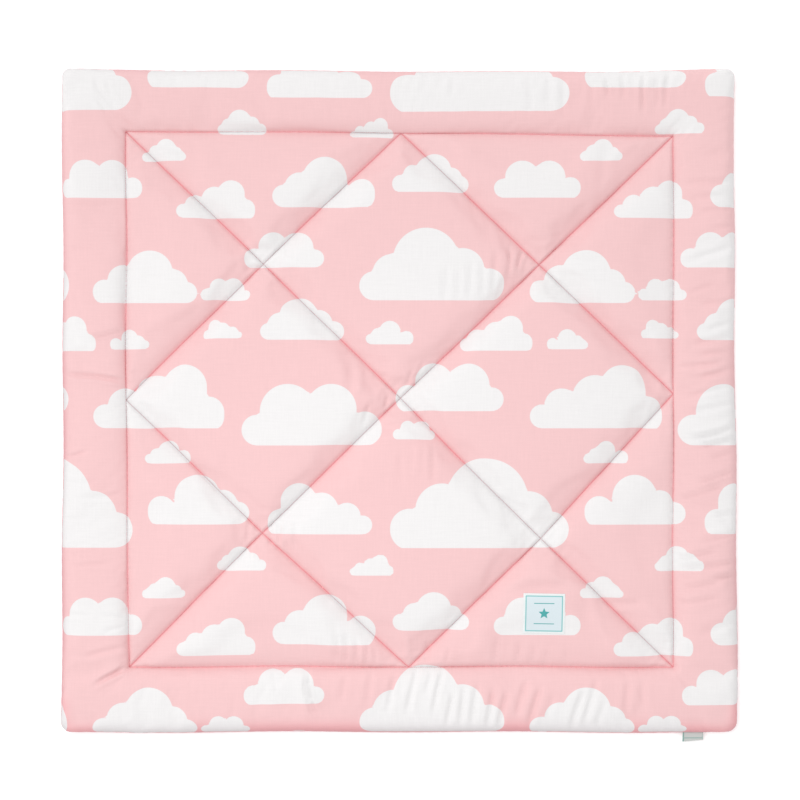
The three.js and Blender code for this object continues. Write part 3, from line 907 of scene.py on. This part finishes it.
# At a scale of 1, Blender's wave texture has a band every 2 pi / 20 metres.
WAVE_LENGTH = 2 * math.pi / 20


def slubs(tree, place, across, along):
    """Thicker threads that run one way: noise stretched along the thread."""
    scale = (1 / (across * MM), 1 / (along * MM), 1)
    stretched = add_node(tree, "ShaderNodeVectorMath", {0: place, 1: scale}, operation="MULTIPLY")
    inputs = {"Vector": stretched.outputs["Vector"], "Scale": 1, "Detail": 3, "Roughness": 0.55}
    return add_node(tree, "ShaderNodeTexNoise", inputs).outputs["Fac"]


def thread_waves(tree, place, direction, pitch):
    """The rounded backs of threads that lie side by side."""
    inputs = {"Vector": place, "Scale": WAVE_LENGTH / (pitch * MM), "Distortion": 0.8, "Detail": 1}
    return add_node(
        tree, "ShaderNodeTexWave", inputs, wave_type="BANDS", bands_direction=direction,
    ).outputs["Fac"]


def mix(tree, share, low, high):
    """Blends two colours, each a value or a link."""
    return add_node(tree, "ShaderNodeMix", {0: share, 6: low, 7: high}, data_type="RGBA").outputs[2]


def ramp(tree, value, low, high, out_low, out_high, kind="SMOOTHSTEP"):
    """Maps a number from one range to another, smoothly at both ends unless told otherwise."""
    inputs = {"Value": value, "From Min": low, "From Max": high, "To Min": out_low, "To Max": out_high}
    return add_node(tree, "ShaderNodeMapRange", inputs, interpolation_type=kind).outputs["Result"]


def maths(tree, operation, first, second=0):
    """One sum, product or other operation on two numbers."""
    return add_node(tree, "ShaderNodeMath", {0: first, 1: second}, operation=operation).outputs[0]


def read_number(tree, name):
    """A number that the mesh keeps at each point."""
    return add_node(tree, "ShaderNodeAttribute", attribute_name=name).outputs["Fac"]


def paint_shade_steps(tree, shares, shades):
    """One printed colour, darkened step by step with painted shade by the seams and the rim."""
    colour = shade(shades[0])
    for share, deeper in zip(shares, shades[1:]):
        colour = mix(tree, share, colour, shade(deeper))
    return colour


def cotton(name, printed):
    """Matt woven cotton with slubs, threads, and painted shade at the seams and the rim."""
    material, tree = new_material(name)
    place = add_node(tree, "ShaderNodeAttribute", attribute_name="cut").outputs["Vector"]
    seam = read_number(tree, "seam")
    # Painted shade: in a seam's pinch and in its core, along the rim, and by the bottom rim.
    painted_pinch_shade, core = (ramp(tree, seam, 0, width, 1, 0) for width in (PAINTED_PINCH_WIDTH, PAINTED_CORE_WIDTH))
    shares = (read_number(tree, "painted_bottom_shade"), painted_pinch_shade, core, read_number(tree, "turned"))
    colour = paint_shade_steps(tree, shares, PINK_AND_PAINTED_SHADES)
    if printed:
        white = paint_shade_steps(tree, shares, WHITE_AND_PAINTED_SHADES)
        edge = read_number(tree, "print_edge")
        colour = mix(tree, ramp(tree, edge, -PRINT_BLEED, PRINT_BLEED, 0, 1), white, colour)
    weft = slubs(tree, place, SLUB_LENGTH, SLUB_WIDTH)
    warp = slubs(tree, place, SLUB_WIDTH, SLUB_LENGTH)
    uneven = maths(tree, "ADD", weft, warp)
    tone = ramp(tree, uneven, *SLUB_RANGE, *SLUB_TONE, "LINEAR")
    toned = add_node(tree, "ShaderNodeVectorMath", {0: colour, "Scale": tone}, operation="SCALE")
    across, along = (thread_waves(tree, place, way, THREAD_PITCH) for way in "XY")
    threads = maths(tree, "MULTIPLY", across, along)
    relief = maths(tree, "ADD", threads, uneven)
    bump = add_node(
        tree, "ShaderNodeBump", {"Height": relief, "Strength": 0.6, "Distance": THREAD_RELIEF * MM},
    )
    shader = add_node(tree, "ShaderNodeBsdfPrincipled", {
        "Base Color": toned.outputs["Vector"], "Roughness": 0.88, "Specular IOR Level": 0.25,
        "Sheen Weight": 0.12, "Sheen Roughness": 0.5, "Normal": bump.outputs["Normal"],
    })
    finish_material(tree, shader)
    return material


printed_cotton = cotton("printed plain-weave cotton", True)
plain_cotton = cotton("plain pink cotton", False)
pad.data.materials.clear()
pad.data.materials.append(printed_cotton)
pad.data.materials.append(plain_cotton)
face_on_top = np.array([on_top[list(face.vertices)].any() for face in pad.data.polygons])
pad.data.polygons.foreach_set("material_index", np.where(face_on_top, 0, 1).astype(np.int32))
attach(pad, "root")
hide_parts("quilted_mat")
print("cotton: printed on", int(face_on_top.sum()), "faces, plain on", int((~face_on_top).sum()))

# %% [markdown]
# The stitches are sewing thread, one short bead for each place where the thread lies on top. One
# bead is modelled and then repeated along every sewn line as one joined mesh, each laid on the
# cloth by looking straight down for its height.

# %% Sewing thread along the seams
STITCH_PITCH, STITCH_LENGTH, THREAD_WIDTH, STITCH_PROUD = 3.2, 2.6, 0.6, 0.1
# Points along each sewn line, and how far before and behind a stitch its direction is read.
LINE_POINTS, STITCH_AIM = 600, 0.5 * MM


def heights_on(piece):
    """A function for the heights of a piece's top at places in metres."""
    faces = [list(face.vertices) for face in piece.data.polygons]
    surface = BVHTree.FromPolygons(points_of(piece).tolist(), faces)
    down = Vector((0, 0, -1))
    return lambda x, y: np.array([surface.ray_cast(Vector((a, b, 1)), down)[0].z for a, b in zip(x, y)])


height_on_pad = heights_on(pad)


def seam_line(u, v):
    """A sewn line through lattice coordinates, as places in metres."""
    x, y = wander(*lattice_plan(u, v))
    return np.column_stack((x, y)) * MM + TO_FRAME[:2]


def sewn_lines():
    """Every seam once: the diagonals between the frame lines, and the frame line round them."""
    lines = []
    for k in (-1, 0, 1):
        run = np.linspace(abs(k) - 2, 2 - abs(k), LINE_POINTS)
        lines.append(seam_line(np.full(run.shape, float(k)), run))
        lines.append(seam_line(run, np.full(run.shape, float(k))))
    corners = [(2, 0), (0, 2), (-2, 0), (0, -2), (2, 0)]
    for start, end in zip(corners, corners[1:]):
        t = np.linspace(0, 1, LINE_POINTS)[:, None]
        side = np.array(start) * (1 - t) + np.array(end) * t
        lines.append(seam_line(side[:, 0], side[:, 1]))
    return lines


def stitch_places(line, pitch):
    """Middles and directions of the stitches along a line."""
    steps = np.linalg.norm(np.diff(line, axis=0), axis=1)
    length = np.concatenate(((0,), np.cumsum(steps)))
    count = int(length[-1] // (pitch * MM))
    at = (np.arange(count) + 0.5) * length[-1] / count
    behind, middle, ahead = (
        np.column_stack([np.interp(at + aim, length, line[:, k]) for k in (0, 1)])
        for aim in (-STITCH_AIM, 0, STITCH_AIM)
    )
    way = ahead - behind
    return middle, way / np.linalg.norm(way, axis=1, keepdims=True)


def one_stitch():
    """A bead of thread along X, round its ends, as points and faces."""
    start_fresh()
    bpy.ops.mesh.primitive_uv_sphere_add(segments=6, ring_count=4, radius=0.5)
    bead = bpy.context.object
    bpy.ops.object.mode_set(mode="EDIT")
    bpy.ops.mesh.select_all(action="SELECT")
    bpy.ops.transform.rotate(value=math.pi / 2, orient_axis="Y", center_override=(0, 0, 0))
    bpy.ops.transform.resize(
        value=(STITCH_LENGTH * MM, THREAD_WIDTH * MM, THREAD_WIDTH * MM), center_override=(0, 0, 0),
    )
    bpy.ops.object.mode_set(mode="OBJECT")
    points = points_of(bead)
    faces = [list(face.vertices) for face in bead.data.polygons]
    bpy.data.objects.remove(bead)
    return points, faces


def sew(name, lines, pitch, height):
    """Lays a bead at every stitch of the lines, all in one piece, and counts them."""
    bead, faces = one_stitch()
    places, ways = zip(*[stitch_places(line, pitch) for line in lines])
    middle, way = np.concatenate(places), np.concatenate(ways)
    side = np.column_stack((-way[:, 1], way[:, 0]))
    plan = middle[:, None] + bead[None, :, 0:1] * way[:, None] + bead[None, :, 1:2] * side[:, None]
    up = height(middle[:, 0], middle[:, 1])[:, None] + STITCH_PROUD * MM + bead[None, :, 2]
    points = np.concatenate((plan, up[:, :, None]), axis=2).reshape(-1, 3)
    all_faces = [[k * len(bead) + c for c in face] for k in range(len(middle)) for face in faces]
    mesh = bpy.data.meshes.new(name)
    mesh.from_pydata(points.tolist(), [], all_faces)
    piece = bpy.data.objects.new(name, mesh)
    bpy.context.scene.collection.objects.link(piece)
    pick(piece)
    bpy.ops.object.shade_smooth()
    return piece, len(middle)


stitches, stitch_count = sew("quilting_thread", sewn_lines(), STITCH_PITCH, height_on_pad)
print("stitches:", stitch_count)

# %% [markdown]
# Sewing thread is spun polyester. It is a little glossier than cotton, and it is plied, so its
# plies wind round it as slanting bands, and the crest of each gets a painted highlight.

# %% Spun polyester thread
# How far apart the plies lie, and how strongly their crests get a painted highlight.
PLY_PITCH, PLY_PAINTED_HIGHLIGHT = 0.5, 0.12
# A deeper pink than the thread's own: painted shade, the deep pink of a seam's core.
QUILTING_PINK_WITH_PAINTED_SHADE = "#DD8E94"


def sewing_thread(name, colour):
    """Spun polyester thread: a slight gloss, with plies that wind round it and a painted highlight on their
    crests.
    """
    material, tree = new_material(name)
    place = add_node(tree, "ShaderNodeTexCoord").outputs["Object"]
    plies = thread_waves(tree, place, "DIAGONAL", PLY_PITCH)
    bump = add_node(
        tree, "ShaderNodeBump", {"Height": plies, "Strength": 0.5, "Distance": THREAD_RELIEF * MM},
    )
    # Painted highlight: the crest of each ply is drawn paler.
    highlighted_plies = mix(tree, plies, shade(colour), shade("#FFFFFF"))
    soft = mix(tree, PLY_PAINTED_HIGHLIGHT, shade(colour), highlighted_plies)
    shader = add_node(tree, "ShaderNodeBsdfPrincipled", {
        "Base Color": soft, "Roughness": 0.55, "Specular IOR Level": 0.4,
        "Sheen Weight": 0.2, "Normal": bump.outputs["Normal"],
    })
    finish_material(tree, shader)
    return material


stitches.data.materials.append(sewing_thread("pink sewing thread", QUILTING_PINK_WITH_PAINTED_SHADE))
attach(stitches, "root")
print("quilting thread in", stitches.data.materials[0].name)

# %% [markdown]
# The label is a small square of woven satin, laid on the front and sewn down round its edge. It
# is made as a fine flat grid and then dropped on the pad, stiff enough to bridge the smallest
# waves. Its edge is pulled down by its stitches, and its middle stands a little free of the pad.

# %% Woven label
# Where its middle lies, its size, and how far it is turned, in degrees.
LABEL = {"x": 212, "y": -310, "width": 61, "length": 59, "turn": -0.9}
LABEL_CELLS, LABEL_THICK = 64, 0.4
# How high it stands over the smoothed pad, which share of that is left at its edge, and how wide
# the edge is.
LABEL_ROOM, LABEL_EDGE_ROOM, LABEL_HEM = 0.9, 0.45, 2.2
# How often the heights under it are smoothed, and how near its upper face may come to the pad.
LABEL_STIFFNESS, LABEL_CLEAR = 60, 0.55


def blur(grid, rounds):
    """Averages a grid of heights with its neighbours, to make it as stiff as satin on a hem."""
    for _ in range(rounds):
        padded = np.pad(grid, 1, mode="edge")
        grid = (padded[:-2, 1:-1] + padded[2:, 1:-1] + padded[1:-1, :-2] + padded[1:-1, 2:]) / 4
    return grid


def on_mat(x, y):
    """Places in the label's own metres as places on the mat."""
    turn = math.radians(LABEL["turn"])
    across = LABEL["x"] * MM + TO_FRAME[0] + x * math.cos(turn) - y * math.sin(turn)
    return across, LABEL["y"] * MM + TO_FRAME[1] + x * math.sin(turn) + y * math.cos(turn)


def woven_label():
    """The label's grid, at its place on the pad."""
    start_fresh()
    bpy.ops.mesh.primitive_grid_add(x_subdivisions=LABEL_CELLS, y_subdivisions=LABEL_CELLS, size=1)
    label = bpy.context.object
    label.name = "woven_label"
    bpy.ops.object.mode_set(mode="EDIT")
    bpy.ops.mesh.select_all(action="SELECT")
    bpy.ops.transform.resize(
        value=(LABEL["width"] * MM, LABEL["length"] * MM, 1), center_override=(0, 0, 0),
    )
    bpy.ops.object.mode_set(mode="OBJECT")
    flat = points_of(label)
    x, y = on_mat(flat[:, 0], flat[:, 1])
    under = height_on_pad(x, y)
    size = LABEL_CELLS + 1
    order = np.lexsort((flat[:, 0].round(7), flat[:, 1].round(7)))
    smooth = np.empty(len(flat))
    smooth[order] = blur(under[order].reshape(size, size), LABEL_STIFFNESS).ravel()
    from_side = LABEL["width"] / 2 - abs(flat[:, 0]) / MM
    from_end = LABEL["length"] / 2 - abs(flat[:, 1]) / MM
    inset = np.minimum(from_side, from_end)
    room = LABEL_ROOM * (1 - (1 - LABEL_EDGE_ROOM) * np.exp(-inset / LABEL_HEM))
    z = np.maximum(smooth + room * MM, under + LABEL_CLEAR * MM)
    place_points(label, np.column_stack((x, y, z)))
    keep_attribute(label, "cut", flat)
    keep_attribute(label, "inset", inset)
    thick = label.modifiers.new("Thickness", "SOLIDIFY")
    thick.thickness = LABEL_THICK * MM
    thick.offset = -1
    apply_all(label)
    bpy.ops.object.shade_smooth_by_angle(angle=math.radians(40))
    return label


label = woven_label()
print("label lies", np.round(points_of(label)[:, 2].min() / MM, 1), "mm up at its lowest")

# %% [markdown]
# Satin has long threads that float on its face, all one way, so it is smoother and glossier than
# the cotton round it. What is woven on the label is plain: a frame line inside a paler hem, and
# one small star between two short rules. Each is drawn by distance, and so has a clean edge.

# %% Satin for the label
SATIN, SATIN_HEM, FRAME_TEAL, STAR_TEAL = "#D3DFE4", "#E6EAEA", "#8AC2C2", "#45A3A2"
FRAME_FROM, FRAME_TO, FRAME_SOFT = 3.0, 4.8, 0.2
STAR = {"tip": 8.5, "notch": 3.9, "points": 5, "soft": 0.15}
RULE_AWAY, RULE_WIDTH, RULE_REACH, RULE_SOFT = 15, 1.3, 15, 0.3
FLOAT_PITCH, PICK_PITCH, SATIN_RELIEF = 0.45, 1.3, 0.08


def star_edge(tree, x, y):
    """How far the edge of a star lies from its middle, in the direction of a place."""
    half = math.pi / STAR["points"]
    turned = maths(tree, "PINGPONG", maths(tree, "ARCTAN2", x, y), half)
    tip, notch = STAR["tip"] * MM, STAR["notch"] * MM
    rise = maths(tree, "MULTIPLY", maths(tree, "SINE", turned), tip)
    fall = maths(tree, "MULTIPLY", maths(tree, "SINE", maths(tree, "SUBTRACT", half, turned)), notch)
    return maths(tree, "DIVIDE", tip * notch * math.sin(half), maths(tree, "ADD", rise, fall))


def satin(name):
    """Woven satin: long floating threads that lie one way, so it is smoother and glossier."""
    material, tree = new_material(name)
    place = add_node(tree, "ShaderNodeAttribute", attribute_name="cut").outputs["Vector"]
    inset = read_number(tree, "inset")
    outer = ramp(tree, inset, FRAME_FROM - FRAME_SOFT, FRAME_FROM + FRAME_SOFT, 0, 1)
    inner = ramp(tree, inset, FRAME_TO - FRAME_SOFT, FRAME_TO + FRAME_SOFT, 1, 0)
    line = maths(tree, "MULTIPLY", outer, inner)
    apart = add_node(tree, "ShaderNodeSeparateXYZ", {"Vector": place})
    x, y = apart.outputs["X"], apart.outputs["Y"]
    away = add_node(tree, "ShaderNodeVectorMath", {0: place}, operation="LENGTH").outputs["Value"]
    off_star = maths(tree, "SUBTRACT", away, star_edge(tree, x, y))
    star = ramp(tree, off_star, -STAR["soft"] * MM, STAR["soft"] * MM, 1, 0)
    up, out = maths(tree, "ABSOLUTE", y), maths(tree, "ABSOLUTE", x)
    off_rule = maths(tree, "ABSOLUTE", maths(tree, "SUBTRACT", up, RULE_AWAY * MM))
    beside = ramp(tree, off_rule, 0.3 * RULE_WIDTH * MM, 0.6 * RULE_WIDTH * MM, 1, 0)
    within = ramp(tree, out, (RULE_REACH - RULE_SOFT) * MM, RULE_REACH * MM, 1, 0)
    rule = maths(tree, "MULTIPLY", beside, within)
    motif = maths(tree, "MAXIMUM", rule, star)
    figure = maths(tree, "MAXIMUM", line, motif)
    past_hem = ramp(tree, inset, FRAME_FROM, FRAME_TO, 0, 1)
    framed = mix(tree, line, mix(tree, past_hem, shade(SATIN_HEM), shade(SATIN)), shade(FRAME_TEAL))
    colour = mix(tree, motif, framed, shade(STAR_TEAL))
    floats = thread_waves(tree, place, "Y", FLOAT_PITCH)
    picks = maths(tree, "MULTIPLY", thread_waves(tree, place, "DIAGONAL", PICK_PITCH), 0.5)
    relief = maths(tree, "ADD", picks, maths(tree, "ADD", floats, figure))
    bump = add_node(
        tree, "ShaderNodeBump", {"Height": relief, "Strength": 0.5, "Distance": SATIN_RELIEF * MM},
    )
    shader = add_node(tree, "ShaderNodeBsdfPrincipled", {
        "Base Color": colour, "Roughness": 0.42, "Specular IOR Level": 0.5,
        "Sheen Weight": 0.1, "Normal": bump.outputs["Normal"],
    })
    finish_material(tree, shader)
    return material


label.data.materials.append(satin("woven label satin"))
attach(label, "root")
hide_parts("sewn_label")
print("label is", LABEL["width"], "by", LABEL["length"], "mm of", label.data.materials[0].name)

# %% [markdown]
# The label is sewn down close to its edge, with white thread. The same stitches are laid along a
# square that runs round its hem, this time at the height of the label's own face.

# %% Stitches round the label
LABEL_SEWN, LABEL_PITCH, LABEL_LINE_POINTS = 1.5, 2.9, 400
LABEL_WHITE = "#E9ECEC"


def label_edge(inset):
    """The line the label is sewn down along, as places in metres."""
    side_x, side_y = (LABEL["width"] / 2 - inset) * MM, (LABEL["length"] / 2 - inset) * MM
    corners = np.array([(1, 1), (1, -1), (-1, -1), (-1, 1), (1, 1)]) * (side_x, side_y)
    t = np.linspace(0, 4, LABEL_LINE_POINTS)
    x, y = (np.interp(t, range(5), corners[:, k]) for k in (0, 1))
    return np.column_stack(on_mat(x, y))


hem = label_edge(LABEL_SEWN)
hem_stitches, hem_count = sew("label_thread", [hem], LABEL_PITCH, heights_on(label))
hem_stitches.data.materials.append(sewing_thread("white sewing thread", LABEL_WHITE))
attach(hem_stitches, "root")
print("stitches round the label:", hem_count)

# %% [markdown]
# The tag is a short ribbon, folded double and caught in the bottom seam. It is made as one flat
# strip and then bent along a path that runs out over the top layer, round the fold and back below.

# %% Ribbon tag
# Where its sides lie across the mat, and how far out each side reaches. Then the height of its
# root, how far its fold hangs down, and the fold's radius.
TAG = {
    "left": 417, "right": 447, "left_out": 14.3, "right_out": 11.6, "root": 8.2, "droop": 3.6,
    "fold": 0.8,
}
TAG_CELLS = (30, 72)
# Half the gap between its layers at the root, and how quickly they part from there to the fold.
RIBBON_THICK, RIBBON_ROOT_GAP, RIBBON_PARTING = 0.5, 0.4, 0.7
# A slight wave across the ribbon: how high, how many radians of it, and where it starts.
RIBBON_WAVE, RIBBON_WAVES, RIBBON_WAVE_START = 0.25, 5, 1
# Which points count as the bottom rim: how near the rim, and past which layout place.
RIM_WITHIN, BOTTOM_FROM = 0.2, -1.9


def rim_y(x):
    """Where the bottom rim lies, for places across in metres."""
    points = points_of(pad)[(rim_mm < RIM_WITHIN) & (layout[:, 1] < BOTTOM_FROM)]
    order = np.argsort(points[:, 0])
    return np.interp(x, points[order, 0], points[order, 1])


def ribbon_path(run, out):
    """How far out and how high a point of the ribbon lies, a share of the way along it."""
    straight = out - TAG["fold"]
    arc = math.pi * TAG["fold"]
    s = run * (2 * straight + arc)
    angle = ((s - straight) / TAG["fold"]).clip(0, math.pi)
    away = np.where(s < straight, s, np.where(s > straight + arc, 2 * straight + arc - s, straight))
    away = away + TAG["fold"] * np.sin(angle)
    parted = (away / straight).clip(0, 1) ** RIBBON_PARTING
    opening = RIBBON_ROOT_GAP + (TAG["fold"] - RIBBON_ROOT_GAP) * parted
    return away, opening * np.cos(angle)


def ribbon_tag():
    """The ribbon, bent double at its place on the bottom rim."""
    start_fresh()
    bpy.ops.mesh.primitive_grid_add(x_subdivisions=TAG_CELLS[0], y_subdivisions=TAG_CELLS[1], size=1)
    tag = bpy.context.object
    tag.name = "ribbon_loop"
    flat = points_of(tag)
    share, run = flat[:, 0] + 0.5, 0.5 - flat[:, 1]
    out = TAG["left_out"] + (TAG["right_out"] - TAG["left_out"]) * share
    away, up = ribbon_path(run, out)
    width = TAG["right"] - TAG["left"]
    x = (TAG["left"] + width * share) * MM + TO_FRAME[0]
    y = rim_y(x) - away * MM
    wave = RIBBON_WAVE * np.sin(RIBBON_WAVES * share + RIBBON_WAVE_START) * away / out
    sag = TAG["droop"] * (away / TAG["left_out"]) ** 2 + wave
    place_points(tag, np.column_stack((x, y, (TAG["root"] + up - sag) * MM)))
    keep_attribute(tag, "cut", np.column_stack(((share - 0.5) * width, away, 0 * away)) * MM)
    thick = tag.modifiers.new("Thickness", "SOLIDIFY")
    thick.thickness = RIBBON_THICK * MM
    thick.offset = 0
    apply_all(tag)
    bpy.ops.object.shade_smooth_by_angle(angle=math.radians(40))
    return tag


tag = ribbon_tag()
print("tag spans", np.round(np.ptp(points_of(tag), axis=0) / MM, 1), "mm")

# %% [markdown]
# Grosgrain is woven with thick weft threads, which stand up as fine ribs across the ribbon. This
# one is pale grey-green, its grey partly painted shade, with a darker stripe down each side and one
# across near the fold.

# %% Grosgrain for the tag
# The pale is deeper than the ribbon's own colour: it holds painted shade.
RIBBON_PALE_WITH_PAINTED_SHADE, RIBBON_STRIPE = "#C3C6C3", "#86A8A1"
RIB_PITCH = 0.5
# Where each stripe begins and is full, in millimetres from the ribbon's middle, and how strong.
LEFT_STRIPE, LEFT_STRENGTH = (-12.6, -13.2), 1
RIGHT_STRIPE, RIGHT_STRENGTH = (13.6, 14), 0.5
# How far out the stripe across lies, its half width at full strength and at none, and how strong.
CROSS_STRIPE_OUT, CROSS_STRIPE, CROSS_STRENGTH = 8.4, (0.6, 1.1), 0.75


def ribbon(name):
    """A pale woven ribbon with fine ribs, a stripe down each side and one across."""
    material, tree = new_material(name)
    place = add_node(tree, "ShaderNodeAttribute", attribute_name="cut").outputs["Vector"]
    apart = add_node(tree, "ShaderNodeSeparateXYZ", {"Vector": place})
    x, y = apart.outputs["X"], apart.outputs["Y"]
    left = ramp(tree, x, LEFT_STRIPE[1] * MM, LEFT_STRIPE[0] * MM, LEFT_STRENGTH, 0)
    right = ramp(tree, x, RIGHT_STRIPE[0] * MM, RIGHT_STRIPE[1] * MM, 0, RIGHT_STRENGTH)
    off = maths(tree, "ABSOLUTE", maths(tree, "SUBTRACT", y, CROSS_STRIPE_OUT * MM))
    across = ramp(tree, off, CROSS_STRIPE[0] * MM, CROSS_STRIPE[1] * MM, CROSS_STRENGTH, 0)
    stripes = maths(tree, "MAXIMUM", maths(tree, "MAXIMUM", left, right), across)
    colour = mix(tree, stripes, shade(RIBBON_PALE_WITH_PAINTED_SHADE), shade(RIBBON_STRIPE))
    ribs = thread_waves(tree, place, "Y", RIB_PITCH)
    bump = add_node(
        tree, "ShaderNodeBump", {"Height": ribs, "Strength": 0.5, "Distance": THREAD_RELIEF * MM},
    )
    shader = add_node(tree, "ShaderNodeBsdfPrincipled", {
        "Base Color": colour, "Roughness": 0.5, "Specular IOR Level": 0.45, "Sheen Weight": 0.1,
        "Normal": bump.outputs["Normal"],
    })
    finish_material(tree, shader)
    return material


tag.data.materials.append(ribbon("grosgrain ribbon"))
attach(tag, "root")
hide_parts("ribbon_tag")
print("tag is made of", tag.data.materials[0].name)

# %% [markdown]
# The floor is plain and white. The photo's light is even from end to end, with just enough more
# from the left and the top to shade the puffs, so a wide soft sun is set in a bright surround. A
# soft box over the left of the middle brightens the mat there by a few hundredths, as in the photo.

# %% Floor and light
FLOOR_SIZE = 16
SURROUND = 0.835
KEY_STRENGTH, KEY_SPREAD = 0.93, 40
KEY_FROM = Vector((-0.8, 0.6, 1.42))
SOFT_BOX = {"power": 0.75, "size": 0.6, "place": (-0.22, -0.13, 0.75)}
FLOOR_WHITE, FLOOR_GLOW = "#FBFBFB", 0.22


def add_floor():
    """A plain white floor that glows a little, so that no shadow rings the mat."""
    start_fresh()
    bpy.ops.mesh.primitive_plane_add(size=FLOOR_SIZE)
    floor = bpy.context.object
    floor.name = "floor"
    material, tree = new_material("pale studio floor")
    shader = add_node(tree, "ShaderNodeBsdfPrincipled", {
        "Base Color": shade(FLOOR_WHITE), "Roughness": 0.9,
        "Emission Color": shade(FLOOR_WHITE), "Emission Strength": FLOOR_GLOW,
    })
    finish_material(tree, shader)
    floor.data.materials.append(material)


def add_light():
    """A bright surround, a wide sun and a small soft box."""
    world = bpy.data.worlds.new("studio")
    world.use_nodes = True
    background = world.node_tree.nodes["Background"]
    background.inputs["Color"].default_value = (1, 1, 1, 1)
    background.inputs["Strength"].default_value = SURROUND
    bpy.context.scene.world = world
    bpy.ops.object.light_add(type="SUN", location=KEY_FROM)
    key = bpy.context.object
    key.data.energy = KEY_STRENGTH
    key.data.angle = math.radians(KEY_SPREAD)
    key.rotation_mode = "QUATERNION"
    key.rotation_quaternion = (-KEY_FROM).to_track_quat("-Z", "Y")
    bpy.ops.object.light_add(type="AREA", location=SOFT_BOX["place"])
    soft_box = bpy.context.object
    soft_box.data.energy = SOFT_BOX["power"]
    soft_box.data.size = SOFT_BOX["size"]


add_floor()
add_light()
bpy.context.scene.view_settings.view_transform = "Standard"
